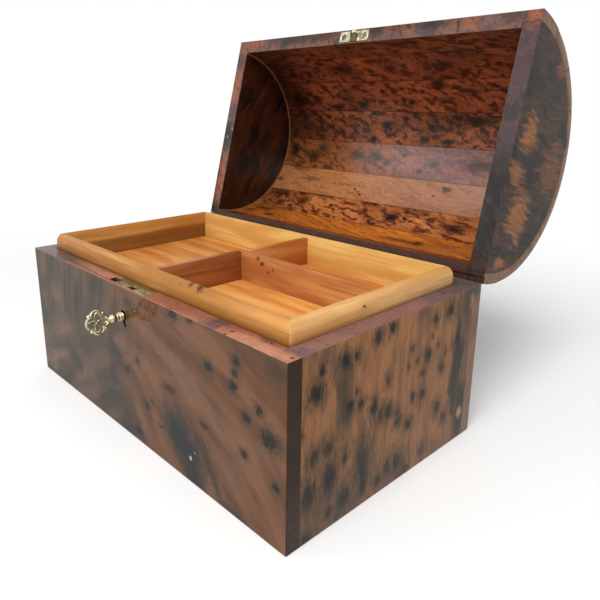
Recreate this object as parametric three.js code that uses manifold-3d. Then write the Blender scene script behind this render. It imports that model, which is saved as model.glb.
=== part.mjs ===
// Wooden jewelry box: a boarded box, a coopered dome lid, a lift-out tray, a hook lock and its key.
// Millimetres. X runs along the box, -Y is the front with the keyhole, +Z is up.
// The origin is the middle of the underside. The lid is drawn shut and then turned open on its hinges.
import * as THREE from 'three';
import { ConvexGeometry } from 'three/addons/geometries/ConvexGeometry.js';
import { mergeVertices } from 'three/addons/utils/BufferGeometryUtils.js';
import Module from 'manifold-3d';

const wasm = await Module();
wasm.setup();

// The box
const LENGTH = 300;
const WIDTH = 180;
const BOX_HEIGHT = 108;
const BOARD = 12.5; // front and back boards
const LIP = 10; // what is left of them in front of the end boards
const END_BOARD = 12;
const BOTTOM = 6;
const BOTTOM_LET_IN = 6; // how far the bottom panel goes into each board
const LEDGE_WIDTH = 8;
const LEDGE_HEIGHT = 6;
const LEDGE_LENGTH = 140;

// The dome lid: staves round two half-moon ends
const FIT_GAP = 0.3; // between pieces of the turned lid
const SEAM = 0.5; // the lid stands this much off the box when it is shut
const STRAIGHT = 2; // upright part of the section, below the half circle
const DOME_RADIUS = WIDTH / 2;
const STAVE_THICKNESS = 11;
const STAVE_THICKNESS_AT_END = 7.5; // where a stave is rebated over the end
const STAVES = 9;
const FIRST_JOINT = 16.5; // degrees up from the front rim
const STAVE_ANGLE = 21.6;
const ARC_STEP = 4.5; // degrees of one facet
const REAR_REBATE_WIDTH = 4.6; // along the lid's back rim, up to its lip
const REAR_REBATE_DEPTH = 1.5;
const REAR_LIP = 1; // left at the very edge of the back rim

// The hinges, and how far the lid opens
const OPEN_ANGLE = 104.6;
const HINGE_X = 100;
const HINGE_LENGTH = 30;
const LEAF = 1.25;
const LEAF_REACH = 10.5; // how far a leaf runs along the back of the box or the lid
const KNUCKLE_RADIUS = 2.2;
const PIN_RADIUS = 0.9;
const MIDDLE_KNUCKLE = 9.6;
const TAIL_LENGTH = 6;
const TAIL_THICKNESS = 1.6;

// The tray
const TRAY_LENGTH = 275;
const TRAY_WIDTH = 154;
const TRAY_WALL = 5.5;
const TRAY_TOP = 12.2; // above the box's rim
const TRAY_BELOW = 16; // below the box's rim
const TRAY_FLOOR = 4;
const TRAY_ROUND_WIDTH = 4.75;
const TRAY_ROUND_HEIGHT = 7;
const TRAY_CORNER = 3.5; // rounding of the corners in plan, less towards the top
const TRAY_CORNER_AT_TOP = 1;
const PARTITION = 4.5;
const PARTITION_TOP = 10; // above the box's rim
const FRONT_CROSS_X = 0; // left face of the front cross partition
const REAR_CROSS_X = 3.5;
const LONG_Y = 4; // front face of the long partition

// The lock and the key
const KEY_X = -5.5;
const KEY_Z = 88;
const LOCK_LEFT = -18;
const LOCK_RIGHT = 20;
const LOCK_BOTTOM = 74;
const LOCK_PLATE = 1.5;
const SELVEDGE_REACH = 11; // from the inner face towards the front
const CASE_LEFT = -16.6;
const CASE_RIGHT = 9.4;
const CASE_BOTTOM = 79;
const CASE_DEPTH = 8.4;
const CASE_WALL = 0.8;
const BOLT_THICKNESS = 1.8;
const BOLT_Y = -85.4; // middle plane of the bolt and of the hook
const HOOK_LEFT = -1.6;
const HOOK_RIGHT = 4.2;
const HOOK_BAR = 1.6;
const HOOK_DROP = 8.1; // how far the hook reaches below the lid's rim
const HOOK_PLATE_LEFT = -19;
const HOOK_PLATE_RIGHT = 11;
const HOOK_PLATE_WIDTH = 8.5;
const HOOK_SCREWS_X = [-15, 6.5];
const KEYHOLE_TILT = 20; // degrees that the keyhole and the key in it lean out of upright
const KEYHOLE_RADIUS = 4;
const CASE_KEYHOLE_RADIUS = 3;
const KEYHOLE_SLOT_WIDTH = 2.6;
const KEYHOLE_SLOT_DROP = 7.7;
const SHANK_RADIUS = 2.1;
const BIT_REACH = 7.2;
const BIT_THICKNESS = 2;
const BIT_WIDTH = 5.5; // along the shank
const PIPE_RADIUS = 1.1; // the shank is bored to sit on the lock's drill pin
const BOW_LOBE_OFFSET = 3.9;
const BOW_LOBE_RADIUS = 4.4;
const BOW_OPENING_RADIUS = 3;
const BOW_EAR_OFFSET = 6.9;
const BOW_EAR_RADIUS = 1.3;
const BOW_THICKNESS = 2.2;
const BOW_CENTRE = 18.2; // in front of the board

// Worked out from the sizes above
const HALF_L = LENGTH / 2;
const HALF_W = WIDTH / 2;
const INNER_X = HALF_L - END_BOARD;
const INNER_Y = HALF_W - BOARD;
const LID_RIM = BOX_HEIGHT + SEAM;
const HINGE_Y = HALF_W; // the pin lies on the box's back top edge
const HINGE_Z = BOX_HEIGHT;
const LEAF_FACE = HALF_W - LEAF; // the inner face of a hinge leaf, let in flush with the back
const TRAY_Z = BOX_HEIGHT - TRAY_BELOW;
const TRAY_INNER_X = TRAY_LENGTH / 2 - TRAY_WALL;
const TRAY_INNER_Y = TRAY_WIDTH / 2 - TRAY_WALL;
const FLOOR_TOP = TRAY_Z + TRAY_FLOOR;
const PARTITION_TOP_Z = BOX_HEIGHT + PARTITION_TOP;
const LOCK_FACE = -INNER_Y; // the lock plate is flush with the front board's inner face
const CASE_BACK = LOCK_FACE - LOCK_PLATE;

const material = (name, color, roughness, metalness = 0) =>
  new THREE.MeshStandardMaterial({ name, color, roughness, metalness });
const burl = material('burl', '#8f6550', 0.25);
const burlLid = material('burl_lid', '#7a3f22', 0.25);
const whitewood = material('tray_wood', '#d29a55', 0.45);
const redwood = material('partition_wood', '#b8683a', 0.45);
const brass = material('brass', '#c9bd8a', 0.3, 1);

// Solids: every geometry goes through manifold-3d, which needs shared vertices and no empty faces.
function solid(geometry) {
  if (geometry instanceof wasm.Manifold) return geometry;
  const bare = geometry.clone();
  bare.deleteAttribute('normal');
  bare.deleteAttribute('uv');
  const merged = mergeVertices(bare, 1e-4);
  const index = merged.index.array;
  const triangles = [];
  for (let i = 0; i < index.length; i += 3) {
    const [a, b, c] = [index[i], index[i + 1], index[i + 2]];
    if (a !== b && b !== c && c !== a) triangles.push(a, b, c);
  }
  const build = (list) => new wasm.Manifold(new wasm.Mesh({
    numProp: 3,
    vertProperties: new Float32Array(merged.attributes.position.array),
    triVerts: new Uint32Array(list),
  }));
  const made = build(triangles);
  return made.volume() > 0 ? made : build(triangles.reverse());
}

const join = (...parts) => parts.map(solid).reduce((whole, next) => whole.add(next));
const cut = (part, ...cutters) => cutters.map(solid).reduce((left, cutter) => left.subtract(cutter), solid(part));

function toGeometry(manifold) {
  const mesh = manifold.getMesh();
  const geometry = new THREE.BufferGeometry();
  geometry.setAttribute('position', new THREE.BufferAttribute(mesh.vertProperties, 3));
  geometry.setIndex(new THREE.BufferAttribute(mesh.triVerts, 1));
  geometry.computeVertexNormals();
  return geometry;
}

function piece(group, name, part, look) {
  const mesh = new THREE.Mesh(toGeometry(solid(part)), look);
  mesh.name = name;
  group.add(mesh);
  return mesh;
}

// Shapes
function block(x0, x1, y0, y1, z0, z1) {
  const geometry = new THREE.BoxGeometry(x1 - x0, y1 - y0, z1 - z0);
  return geometry.translate((x0 + x1) / 2, (y0 + y1) / 2, (z0 + z1) / 2);
}

const outline = (points) => new THREE.Shape(points.map(([a, b]) => new THREE.Vector2(a, b)));

const extrude = (shape, depth, settings = {}) =>
  new THREE.ExtrudeGeometry(shape, { depth, bevelEnabled: false, curveSegments: 8, ...settings });

// A prism along X from an outline of Y and Z
function prismX(shape, x0, x1, settings) {
  const basis = new THREE.Matrix4().makeBasis(
    new THREE.Vector3(0, 1, 0), new THREE.Vector3(0, 0, 1), new THREE.Vector3(1, 0, 0));
  return extrude(shape, x1 - x0, settings).applyMatrix4(basis).translate(x0, 0, 0);
}

// A prism along Y from an outline of X and Z
function prismY(shape, y0, y1) {
  const basis = new THREE.Matrix4().makeBasis(
    new THREE.Vector3(1, 0, 0), new THREE.Vector3(0, 0, 1), new THREE.Vector3(0, -1, 0));
  return extrude(shape, y1 - y0).applyMatrix4(basis).translate(0, y1, 0);
}

const rodX = (radius, x0, x1, y, z, sides = 20) =>
  new THREE.CylinderGeometry(radius, radius, x1 - x0, sides).rotateZ(Math.PI / 2).translate((x0 + x1) / 2, y, z);

const rodY = (radius, y0, y1, x, z, sides = 24) =>
  new THREE.CylinderGeometry(radius, radius, y1 - y0, sides).translate(x, (y0 + y1) / 2, z);

// A countersunk wood screw: its flat head lies at the origin and its point runs along -Y
function screw(headRadius, shankRadius, length) {
  const headDepth = headRadius - shankRadius;
  const profile = [[0, -length], [shankRadius * 0.4, -length + shankRadius], [shankRadius, -length + 3],
    [shankRadius, -headDepth], [headRadius, 0], [0, 0]];
  return new THREE.LatheGeometry(profile.map(([r, y]) => new THREE.Vector2(r, y)), 12);
}

// The hole that a screw needs, with the gap all round it
const screwHole = (headRadius, shankRadius, length) =>
  screw(headRadius + FIT_GAP, shankRadius + FIT_GAP, length + FIT_GAP).translate(0, 0.01, 0);

const pointUp = (geometry) => geometry.rotateX(-Math.PI / 2);

// Box boards
const panelSpace = block(-INNER_X - BOTTOM_LET_IN, INNER_X + BOTTOM_LET_IN,
  -INNER_Y - BOTTOM_LET_IN, INNER_Y + BOTTOM_LET_IN, 0, BOTTOM);

const BASE_SCREW = [2, 1, 9];
const HINGE_SCREWS_X = [-9, 9];
const BASE_SCREW_Z = BOX_HEIGHT - 5.5;
const LID_SCREW_Z = LID_RIM + 5.5;

// A front or back board: a plank with an end rebate for each end board. side is -1 at the front.
function longBoard(side) {
  const outer = side * HALF_W;
  const inner = side * INNER_Y;
  const lip = side * (HALF_W - LIP);
  const section = [[-HALF_L, outer], [HALF_L, outer], [HALF_L, lip], [INNER_X, lip], [INNER_X, inner],
    [-INNER_X, inner], [-INNER_X, lip], [-HALF_L, lip]];
  return cut(extrude(outline(section), BOX_HEIGHT), panelSpace);
}

function keyhole(radius, y0, y1) {
  const half = KEYHOLE_SLOT_WIDTH / 2;
  const slot = block(-half, half, y0, y1, -KEYHOLE_SLOT_DROP, 0);
  slot.rotateY(-THREE.MathUtils.degToRad(KEYHOLE_TILT)).translate(KEY_X, 0, KEY_Z);
  return join(rodY(radius, y0, y1, KEY_X, KEY_Z), slot);
}

// The pocket for the lock: plate, case and selvedge, and the chiselled overrun at its left
function lockMortise() {
  const slack = 0.25;
  const top = BOX_HEIGHT + 1;
  const inside = LOCK_FACE + 1;
  const overrun = 9.5;
  return join(
    block(LOCK_LEFT - slack, LOCK_RIGHT + slack, CASE_BACK, inside, LOCK_BOTTOM - slack, top),
    block(CASE_LEFT - slack, CASE_RIGHT + slack, CASE_BACK - CASE_DEPTH - slack, inside, CASE_BOTTOM - slack, top),
    block(LOCK_LEFT - slack, LOCK_RIGHT + slack, LOCK_FACE - SELVEDGE_REACH - slack, inside,
      BOX_HEIGHT - LOCK_PLATE, top),
    block(LOCK_LEFT - overrun, LOCK_LEFT, -87, -81.5, BOX_HEIGHT - 10, top));
}

// Screw places on the lock plate's flange, as X and Z
const LOCK_SCREW = [1.9, 0.9, 6];
const LOCK_SCREWS = [[-12, 76.5], [14, 76.5], [15, 99]];
const lockScrewPlace = (geometry, [x, z]) => geometry.translate(x, LOCK_FACE, z);

function frontBoard() {
  const holes = LOCK_SCREWS.map((at) => lockScrewPlace(screwHole(...LOCK_SCREW), at));
  return cut(longBoard(-1), lockMortise(), keyhole(KEYHOLE_RADIUS, -HALF_W - 1, CASE_BACK), ...holes);
}

function hingeMortise(x, z0, z1) {
  const half = HINGE_LENGTH / 2 + FIT_GAP;
  return join(
    block(x - half, x + half, LEAF_FACE - FIT_GAP, HALF_W + 1, z0, z1),
    rodX(KNUCKLE_RADIUS + FIT_GAP, x - half, x + half, HINGE_Y, HINGE_Z));
}

// The holes for a leaf's two screws, which go in from behind
const leafScrewHoles = (x, z) =>
  HINGE_SCREWS_X.map((dx) => screwHole(...BASE_SCREW).translate(x + dx, HALF_W, z));

function backBoard() {
  const holes = [-HINGE_X, HINGE_X].flatMap((x) => [
    hingeMortise(x, BOX_HEIGHT - LEAF_REACH - FIT_GAP, BOX_HEIGHT + 1), ...leafScrewHoles(x, BASE_SCREW_Z)]);
  return cut(longBoard(1), ...holes);
}

function endBoard(side) {
  const x0 = side > 0 ? INNER_X : -HALF_L;
  return cut(block(x0, x0 + END_BOARD, -(HALF_W - LIP), HALF_W - LIP, 0, BOX_HEIGHT), panelSpace);
}

function ledge(side) {
  const x0 = side > 0 ? INNER_X - LEDGE_WIDTH : -INNER_X;
  return block(x0, x0 + LEDGE_WIDTH, -LEDGE_LENGTH / 2, LEDGE_LENGTH / 2, TRAY_Z - LEDGE_HEIGHT, TRAY_Z);
}

// Hinges: two outer knuckles on the base leaf, the middle one on the lid leaf
function knuckle(x0, x1) {
  const bore = rodX(PIN_RADIUS + FIT_GAP, x0 - 1, x1 + 1, HINGE_Y, HINGE_Z);
  return cut(rodX(KNUCKLE_RADIUS, x0, x1, HINGE_Y, HINGE_Z), bore);
}

const knuckleRoom = (x0, x1) => rodX(KNUCKLE_RADIUS + FIT_GAP, x0, x1, HINGE_Y, HINGE_Z);

function baseLeaf(x) {
  const half = HINGE_LENGTH / 2;
  const middle = MIDDLE_KNUCKLE / 2 + FIT_GAP;
  const plate = block(x - half, x + half, LEAF_FACE, HALF_W, BOX_HEIGHT - LEAF_REACH, BOX_HEIGHT);
  const bored = cut(plate, rodX(PIN_RADIUS + FIT_GAP, x - half - 1, x + half + 1, HINGE_Y, HINGE_Z),
    knuckleRoom(x - middle, x + middle), ...leafScrewHoles(x, BASE_SCREW_Z));
  return join(bored, knuckle(x - half, x - middle), knuckle(x + middle, x + half));
}

// The tail behind the middle knuckle hangs down against the back board when the lid is open: the stop
function stopTail(x) {
  const half = MIDDLE_KNUCKLE / 2 - FIT_GAP;
  const near = HALF_W + FIT_GAP;
  const open = block(x - half, x + half, near, near + TAIL_THICKNESS, HINGE_Z - TAIL_LENGTH, HINGE_Z - 1.5);
  return open.translate(0, -HINGE_Y, -HINGE_Z).rotateX(THREE.MathUtils.degToRad(OPEN_ANGLE))
    .translate(0, HINGE_Y, HINGE_Z);
}

function lidLeaf(x) {
  const half = HINGE_LENGTH / 2;
  const middle = MIDDLE_KNUCKLE / 2;
  const plate = block(x - half, x + half, LEAF_FACE, HALF_W, LID_RIM, LID_RIM + LEAF_REACH);
  const bored = cut(plate, knuckleRoom(x - half - 1, x - middle - FIT_GAP),
    knuckleRoom(x + middle + FIT_GAP, x + half + 1), ...leafScrewHoles(x, LID_SCREW_Z),
    rodX(PIN_RADIUS + FIT_GAP, x - half - 1, x + half + 1, HINGE_Y, HINGE_Z));
  return join(bored, knuckle(x - middle, x + middle), stopTail(x));
}

function hingePin(x) {
  const half = HINGE_LENGTH / 2;
  return rodX(PIN_RADIUS, x - half, x + half, HINGE_Y, HINGE_Z, 16);
}

// Lid. Angles run in degrees from the front rim over the crown to the back rim.
function arcPoints(radius, from, to) {
  const steps = Math.ceil((to - from) / ARC_STEP);
  return Array.from({ length: steps + 1 }, (_, i) => {
    const angle = THREE.MathUtils.degToRad(from + ((to - from) * i) / steps);
    return [-radius * Math.cos(angle), LID_RIM + STRAIGHT + radius * Math.sin(angle)];
  });
}

// A stave's section, with the glue joint's gap at each side and the rim's square edges on the outer two
function staveSection(number) {
  const inside = DOME_RADIUS - STAVE_THICKNESS;
  const jointGap = THREE.MathUtils.radToDeg(FIT_GAP / 2 / inside);
  const isFirst = number === 1;
  const isLast = number === STAVES;
  const from = isFirst ? 0 : FIRST_JOINT + (number - 2) * STAVE_ANGLE + jointGap;
  const to = isLast ? 180 : FIRST_JOINT + (number - 1) * STAVE_ANGLE - jointGap;
  const outer = arcPoints(DOME_RADIUS, from, to);
  const inner = arcPoints(inside, from, to).reverse();
  const frontRim = isFirst ? [[-inside, LID_RIM], [-DOME_RADIUS, LID_RIM]] : [];
  const rebateTop = LID_RIM + REAR_REBATE_DEPTH;
  const rebateEdge = DOME_RADIUS - REAR_REBATE_WIDTH;
  const lip = DOME_RADIUS - REAR_LIP;
  const backRim = isLast
    ? [[DOME_RADIUS, LID_RIM], [lip, LID_RIM], [lip, rebateTop], [rebateEdge, rebateTop], [rebateEdge, LID_RIM],
      [inside, LID_RIM]]
    : [];
  return outline([...outer, ...backRim, ...inner, ...frontRim]);
}

function halfMoon(radius, x0, x1) {
  const arc = arcPoints(radius, 0, 180);
  return prismX(outline([...arc, [radius, LID_RIM], [-radius, LID_RIM]]), x0, x1);
}

function stave(number) {
  const bar = prismX(staveSection(number), -HALF_L, HALF_L);
  const seat = DOME_RADIUS - STAVE_THICKNESS_AT_END;
  const cutters = [-1, 1].map((side) => {
    const x0 = side > 0 ? INNER_X - FIT_GAP : -HALF_L - 1;
    const x1 = side > 0 ? HALF_L + 1 : -INNER_X + FIT_GAP;
    return join(halfMoon(seat, x0, x1), block(x0, x1, -seat, seat, LID_RIM - 1, LID_RIM + 1));
  });
  if (number === 1) cutters.push(hookPlateMortise());
  if (number === STAVES) cutters.push(...lidHingeMortises());
  return cut(bar, ...cutters);
}

function lidHingeMortises() {
  return [-HINGE_X, HINGE_X].flatMap((x) => [
    hingeMortise(x, LID_RIM - 1, LID_RIM + LEAF_REACH + FIT_GAP), ...leafScrewHoles(x, LID_SCREW_Z)]);
}

function lidEnd(side) {
  const x0 = side > 0 ? INNER_X : -HALF_L;
  return halfMoon(DOME_RADIUS - STAVE_THICKNESS_AT_END - FIT_GAP, x0, x0 + END_BOARD);
}

// Hook plate in the lid's front rim
const HOOK_PLATE_FRONT = -HALF_W + 1;
const HOOK_SCREW = [2.3, 1.1, 8];
const HOOK_SCREW_Y = HOOK_PLATE_FRONT + HOOK_PLATE_WIDTH / 2;

function hookPlateMortise() {
  const plateRoom = block(HOOK_PLATE_LEFT - FIT_GAP, HOOK_PLATE_RIGHT + FIT_GAP, HOOK_PLATE_FRONT - FIT_GAP,
    HOOK_PLATE_FRONT + HOOK_PLATE_WIDTH + FIT_GAP, LID_RIM - 1, LID_RIM + LEAF + FIT_GAP);
  const holes = HOOK_SCREWS_X.map((x) => pointUp(screwHole(...HOOK_SCREW)).translate(x, HOOK_SCREW_Y, LID_RIM));
  return join(plateRoom, ...holes);
}

function hookPlate() {
  const bottom = LID_RIM - HOOK_DROP;
  const mouth = bottom + HOOK_BAR;
  const stem = HOOK_RIGHT - HOOK_BAR;
  const hook = outline([[stem, LID_RIM + LEAF / 2], [stem, mouth], [HOOK_LEFT, mouth], [HOOK_LEFT, bottom],
    [HOOK_RIGHT, bottom], [HOOK_RIGHT, LID_RIM + LEAF / 2]]);
  const plate = block(HOOK_PLATE_LEFT, HOOK_PLATE_RIGHT, HOOK_PLATE_FRONT, HOOK_PLATE_FRONT + HOOK_PLATE_WIDTH,
    LID_RIM, LID_RIM + LEAF);
  const holes = HOOK_SCREWS_X.map((x) => pointUp(screwHole(...HOOK_SCREW)).translate(x, HOOK_SCREW_Y, LID_RIM));
  return join(cut(plate, ...holes), prismY(hook, BOLT_Y - BOLT_THICKNESS / 2, BOLT_Y + BOLT_THICKNESS / 2));
}

// Lock: an L of plate and selvedge with a drill pin, a case in front of it, and the sliding bolt between
function lockPlate() {
  const top = BOX_HEIGHT;
  const reach = LOCK_FACE - SELVEDGE_REACH;
  const bend = outline([[LOCK_FACE, LOCK_BOTTOM], [LOCK_FACE, top], [reach, top], [reach, top - LOCK_PLATE],
    [CASE_BACK, top - LOCK_PLATE], [CASE_BACK, LOCK_BOTTOM]]);
  const hookRoom = block(HOOK_LEFT - 0.6, HOOK_RIGHT + 0.6, BOLT_Y - 1.7, BOLT_Y + 1.7, top - 2, top + 1);
  const holes = LOCK_SCREWS.map((at) => lockScrewPlace(screwHole(...LOCK_SCREW), at));
  const drillPin = rodY(0.8, BOLT_Y, CASE_BACK + 0.5, KEY_X, KEY_Z, 12);
  return join(cut(prismX(bend, LOCK_LEFT, LOCK_RIGHT), hookRoom, ...holes), drillPin);
}

function lockCase() {
  const front = CASE_BACK - CASE_DEPTH;
  const top = BOX_HEIGHT - LOCK_PLATE;
  const pan = block(CASE_LEFT, CASE_RIGHT, front, CASE_BACK, CASE_BOTTOM, top);
  const hollow = block(CASE_LEFT + CASE_WALL, CASE_RIGHT - CASE_WALL, front + CASE_WALL, CASE_BACK + 1,
    CASE_BOTTOM + CASE_WALL, top + 1);
  return cut(pan, hollow, keyhole(CASE_KEYHOLE_RADIUS, front - 1, front + CASE_WALL + 1));
}

// The bolt's outline in X and Z at rest, drawn back: a nose at the top right and two teeth for the bit
function lockBolt() {
  const teeth = 93.6;
  const body = 96;
  const nose = [102.3, 105];
  const shape = outline([[-15.4, teeth], [-13.9, teeth], [-13.9, body], [-8.2, body], [-8.2, teeth], [-6.8, teeth],
    [-6.8, nose[0]], [-1.9, nose[0]], [-1.9, nose[1]], [-15.4, nose[1]]]);
  return prismY(shape, BOLT_Y - BOLT_THICKNESS / 2, BOLT_Y + BOLT_THICKNESS / 2);
}

// A bowed strip under the selvedge that presses on the bolt
function boltSpring() {
  const strip = new THREE.Shape();
  strip.moveTo(-14.5, 106.4);
  strip.quadraticCurveTo(-9, 104.5, -3.5, 106.4);
  strip.lineTo(-3.9, 106.45);
  strip.quadraticCurveTo(-9, 104.95, -14.1, 106.45);
  return prismY(strip, BOLT_Y - 0.7, BOLT_Y + 0.7);
}

// Key. A lobed outline is four arcs round the corners of a square turned on its corner.
function lobes(target, radius, offset) {
  const corner = offset * Math.SQRT1_2 + Math.sqrt(radius * radius - (offset * offset) / 2);
  const reach = Math.atan2(corner * Math.SQRT1_2, corner * Math.SQRT1_2 - offset);
  for (let i = 0; i < 4; i += 1) {
    const turn = (i * Math.PI) / 2;
    target.absarc(offset * Math.cos(turn), offset * Math.sin(turn), radius, turn - reach, turn + reach, false);
  }
  return target;
}

// The key's own origin is where its axis meets the board's face, with the bow towards -Y and the bit down
function keyBow() {
  const shape = lobes(new THREE.Shape(), BOW_LOBE_RADIUS, BOW_LOBE_OFFSET);
  const opening = lobes(new THREE.Path(), BOW_OPENING_RADIUS, BOW_LOBE_OFFSET);
  shape.holes.push(opening);
  const bevel = { bevelEnabled: true, bevelThickness: 0.5, bevelSize: 0.35, bevelOffset: -0.35, bevelSegments: 1 };
  const half = BOW_THICKNESS / 2 - bevel.bevelThickness;
  const ring = prismX(shape, -half, half, bevel);
  const ears = [0, 1, 2, 3].map((i) => {
    const angle = Math.PI / 4 + (i * Math.PI) / 2;
    const ear = new THREE.SphereGeometry(BOW_EAR_RADIUS, 10, 7);
    return ear.translate(0, BOW_EAR_OFFSET * Math.cos(angle), BOW_EAR_OFFSET * Math.sin(angle));
  });
  const moved = [ring, ...ears].map((part) => part.translate(0, -BOW_CENTRE, 0));
  return join(...moved);
}

// The turned part of the key, as radius and distance in front of the board
function keyShank() {
  const end = -10;
  const profile = [[0, end], [SHANK_RADIUS, end], [SHANK_RADIUS, 0.4], [2.8, 0.4], [3.1, 1], [2.8, 1.6], [2.2, 1.8],
    [2.8, 2.1], [3.1, 2.7], [2.8, 3.3], [2.1, 3.5], [2.6, 4], [2.6, 4.7], [2, 5.1], [2.7, 5.9], [3, 7.2],
    [2.8, 8.4], [2.1, 9.5], [1.5, 10.1], [1.4, 11], [0, 11]];
  return new THREE.LatheGeometry(profile.map(([r, p]) => new THREE.Vector2(r, p)), 20).rotateX(Math.PI);
}

function key() {
  const bitFront = BOLT_Y - BOLT_THICKNESS / 2 + HALF_W;
  const bit = block(-BIT_THICKNESS / 2, BIT_THICKNESS / 2, bitFront, bitFront + BIT_WIDTH, -BIT_REACH, 0);
  const bore = rodY(PIPE_RADIUS, bitFront - FIT_GAP, 11, 0, 0, 12);
  return cut(join(keyBow(), keyShank(), bit), bore);
}

// Tray. The round-over of a wall's outer top edge, as how far it has come in and the height
const ROUND_STEPS = 6;
const trayRound = Array.from({ length: ROUND_STEPS + 1 }, (_, i) => {
  const angle = ((i / ROUND_STEPS) * Math.PI) / 2;
  return [TRAY_ROUND_WIDTH * (1 - Math.cos(angle)), TRAY_TOP - TRAY_ROUND_HEIGHT * (1 - Math.sin(angle))];
});

// The tray's outer shape along one wall, with its two corners rounded in plan
function trayEnvelope(length) {
  const depth = 60;
  const points = [[0, -TRAY_BELOW - 1], ...trayRound].flatMap(([inset, z]) => {
    const radius = TRAY_CORNER + ((TRAY_CORNER_AT_TOP - TRAY_CORNER) * inset) / TRAY_ROUND_WIDTH;
    const reach = length / 2 - inset;
    return [-1, 1].flatMap((side) => {
      const arc = [0, 1, 2, 3, 4].map((i) => {
        const angle = (i * Math.PI) / 8;
        return new THREE.Vector3(side * (reach - radius * (1 - Math.cos(angle))),
          inset + radius * (1 - Math.sin(angle)), z);
      });
      return [new THREE.Vector3(side * reach, depth, z), ...arc];
    });
  });
  return new ConvexGeometry(points);
}

// A wall is drawn with its outer face on Y = 0 and its inner face towards +Y, and mitred at 45 degrees.
function trayWall(length) {
  const section = [[0, -TRAY_BELOW], ...trayRound, [TRAY_WALL, TRAY_TOP], [TRAY_WALL, -TRAY_BELOW]];
  const wall = prismX(outline(section), -length / 2, length / 2);
  const mitreGap = 0.05;
  const position = wall.attributes.position;
  for (let i = 0; i < position.count; i += 1) {
    const inset = position.getY(i) + mitreGap;
    position.setX(i, position.getX(i) - Math.sign(position.getX(i)) * inset);
  }
  const outside = block(-length, length, -5, 50, -TRAY_BELOW - 0.5, TRAY_TOP - 0.001);
  return cut(wall, cut(outside, trayEnvelope(length)));
}

// The box with its lock
const jewelryBox = new THREE.Group();
const box = new THREE.Group();
jewelryBox.add(box);
piece(box, 'front_board', frontBoard(), burl);
piece(box, 'back_board', backBoard(), burl);
piece(box, 'left_end_board', endBoard(-1), burl);
piece(box, 'right_end_board', endBoard(1), burl);
piece(box, 'bottom_panel', panelSpace, burl);
piece(box, 'tray_ledge_left', ledge(-1), whitewood);
piece(box, 'tray_ledge_right', ledge(1), whitewood);
piece(box, 'lock_plate', lockPlate(), brass);
piece(box, 'lock_case', lockCase(), brass);
piece(box, 'bolt_spring', boltSpring(), brass);
LOCK_SCREWS.forEach((at, i) => {
  piece(box, `lock_screw_${i + 1}`, lockScrewPlace(screw(...LOCK_SCREW), at), brass);
});
for (const [side, x] of [['left', -HINGE_X], ['right', HINGE_X]]) {
  piece(box, `hinge_base_leaf_${side}`, baseLeaf(x), brass);
  piece(box, `hinge_pin_${side}`, hingePin(x), brass);
  HINGE_SCREWS_X.forEach((dx, i) => {
    const place = piece(box, `hinge_base_screw_${side}_${i + 1}`, screw(...BASE_SCREW), brass);
    place.position.set(x + dx, HALF_W, BASE_SCREW_Z);
  });
}
piece(jewelryBox, 'lock_bolt', lockBolt(), brass);
const keyMesh = piece(jewelryBox, 'key', key(), brass);
keyMesh.position.set(KEY_X, -HALF_W, KEY_Z);
keyMesh.rotation.y = -THREE.MathUtils.degToRad(KEYHOLE_TILT);

// The lid, turned open about its pins
const lidHinge = new THREE.Group();
lidHinge.position.set(0, HINGE_Y, HINGE_Z);
lidHinge.rotation.x = -THREE.MathUtils.degToRad(OPEN_ANGLE);
jewelryBox.add(lidHinge);
const lid = new THREE.Group();
lid.position.set(0, -HINGE_Y, -HINGE_Z);
lidHinge.add(lid);
for (let number = 1; number <= STAVES; number += 1) piece(lid, `lid_stave_${number}`, stave(number), burlLid);
piece(lid, 'lid_end_left', lidEnd(-1), burlLid);
piece(lid, 'lid_end_right', lidEnd(1), burlLid);
piece(lid, 'hook_plate', hookPlate(), brass);
HOOK_SCREWS_X.forEach((x, i) => {
  const place = piece(lid, `hook_screw_${i + 1}`, pointUp(screw(...HOOK_SCREW)), brass);
  place.position.set(x, HOOK_SCREW_Y, LID_RIM);
});
for (const [side, x] of [['left', -HINGE_X], ['right', HINGE_X]]) {
  piece(lid, `hinge_lid_leaf_${side}`, lidLeaf(x), brass);
  HINGE_SCREWS_X.forEach((dx, i) => {
    const place = piece(lid, `hinge_lid_screw_${side}_${i + 1}`, screw(...BASE_SCREW), brass);
    place.position.set(x + dx, HALF_W, LID_SCREW_Z);
  });
}

// The tray, standing on its ledges
const tray = new THREE.Group();
jewelryBox.add(tray);
const walls = [['front', TRAY_LENGTH, 0, 0, -TRAY_WIDTH / 2], ['right', TRAY_WIDTH, 1, TRAY_LENGTH / 2, 0],
  ['back', TRAY_LENGTH, 2, 0, TRAY_WIDTH / 2], ['left', TRAY_WIDTH, 3, -TRAY_LENGTH / 2, 0]];
for (const [side, length, turns, x, y] of walls) {
  const wall = piece(tray, `tray_wall_${side}`, trayWall(length), whitewood);
  wall.rotation.z = (turns * Math.PI) / 2;
  wall.position.set(x, y, BOX_HEIGHT);
}
piece(tray, 'tray_floor', block(-TRAY_INNER_X, TRAY_INNER_X, -TRAY_INNER_Y, TRAY_INNER_Y,
  TRAY_Z, FLOOR_TOP), redwood);
piece(tray, 'tray_cross_front', block(FRONT_CROSS_X, FRONT_CROSS_X + PARTITION, -TRAY_INNER_Y, LONG_Y,
  FLOOR_TOP, PARTITION_TOP_Z), redwood);
piece(tray, 'tray_cross_rear', block(REAR_CROSS_X, REAR_CROSS_X + PARTITION, LONG_Y + PARTITION, TRAY_INNER_Y,
  FLOOR_TOP, PARTITION_TOP_Z), redwood);
piece(tray, 'tray_long_partition', block(FRONT_CROSS_X, TRAY_INNER_X, LONG_Y, LONG_Y + PARTITION,
  FLOOR_TOP, PARTITION_TOP_Z), redwood);

export default jewelryBox;
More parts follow.
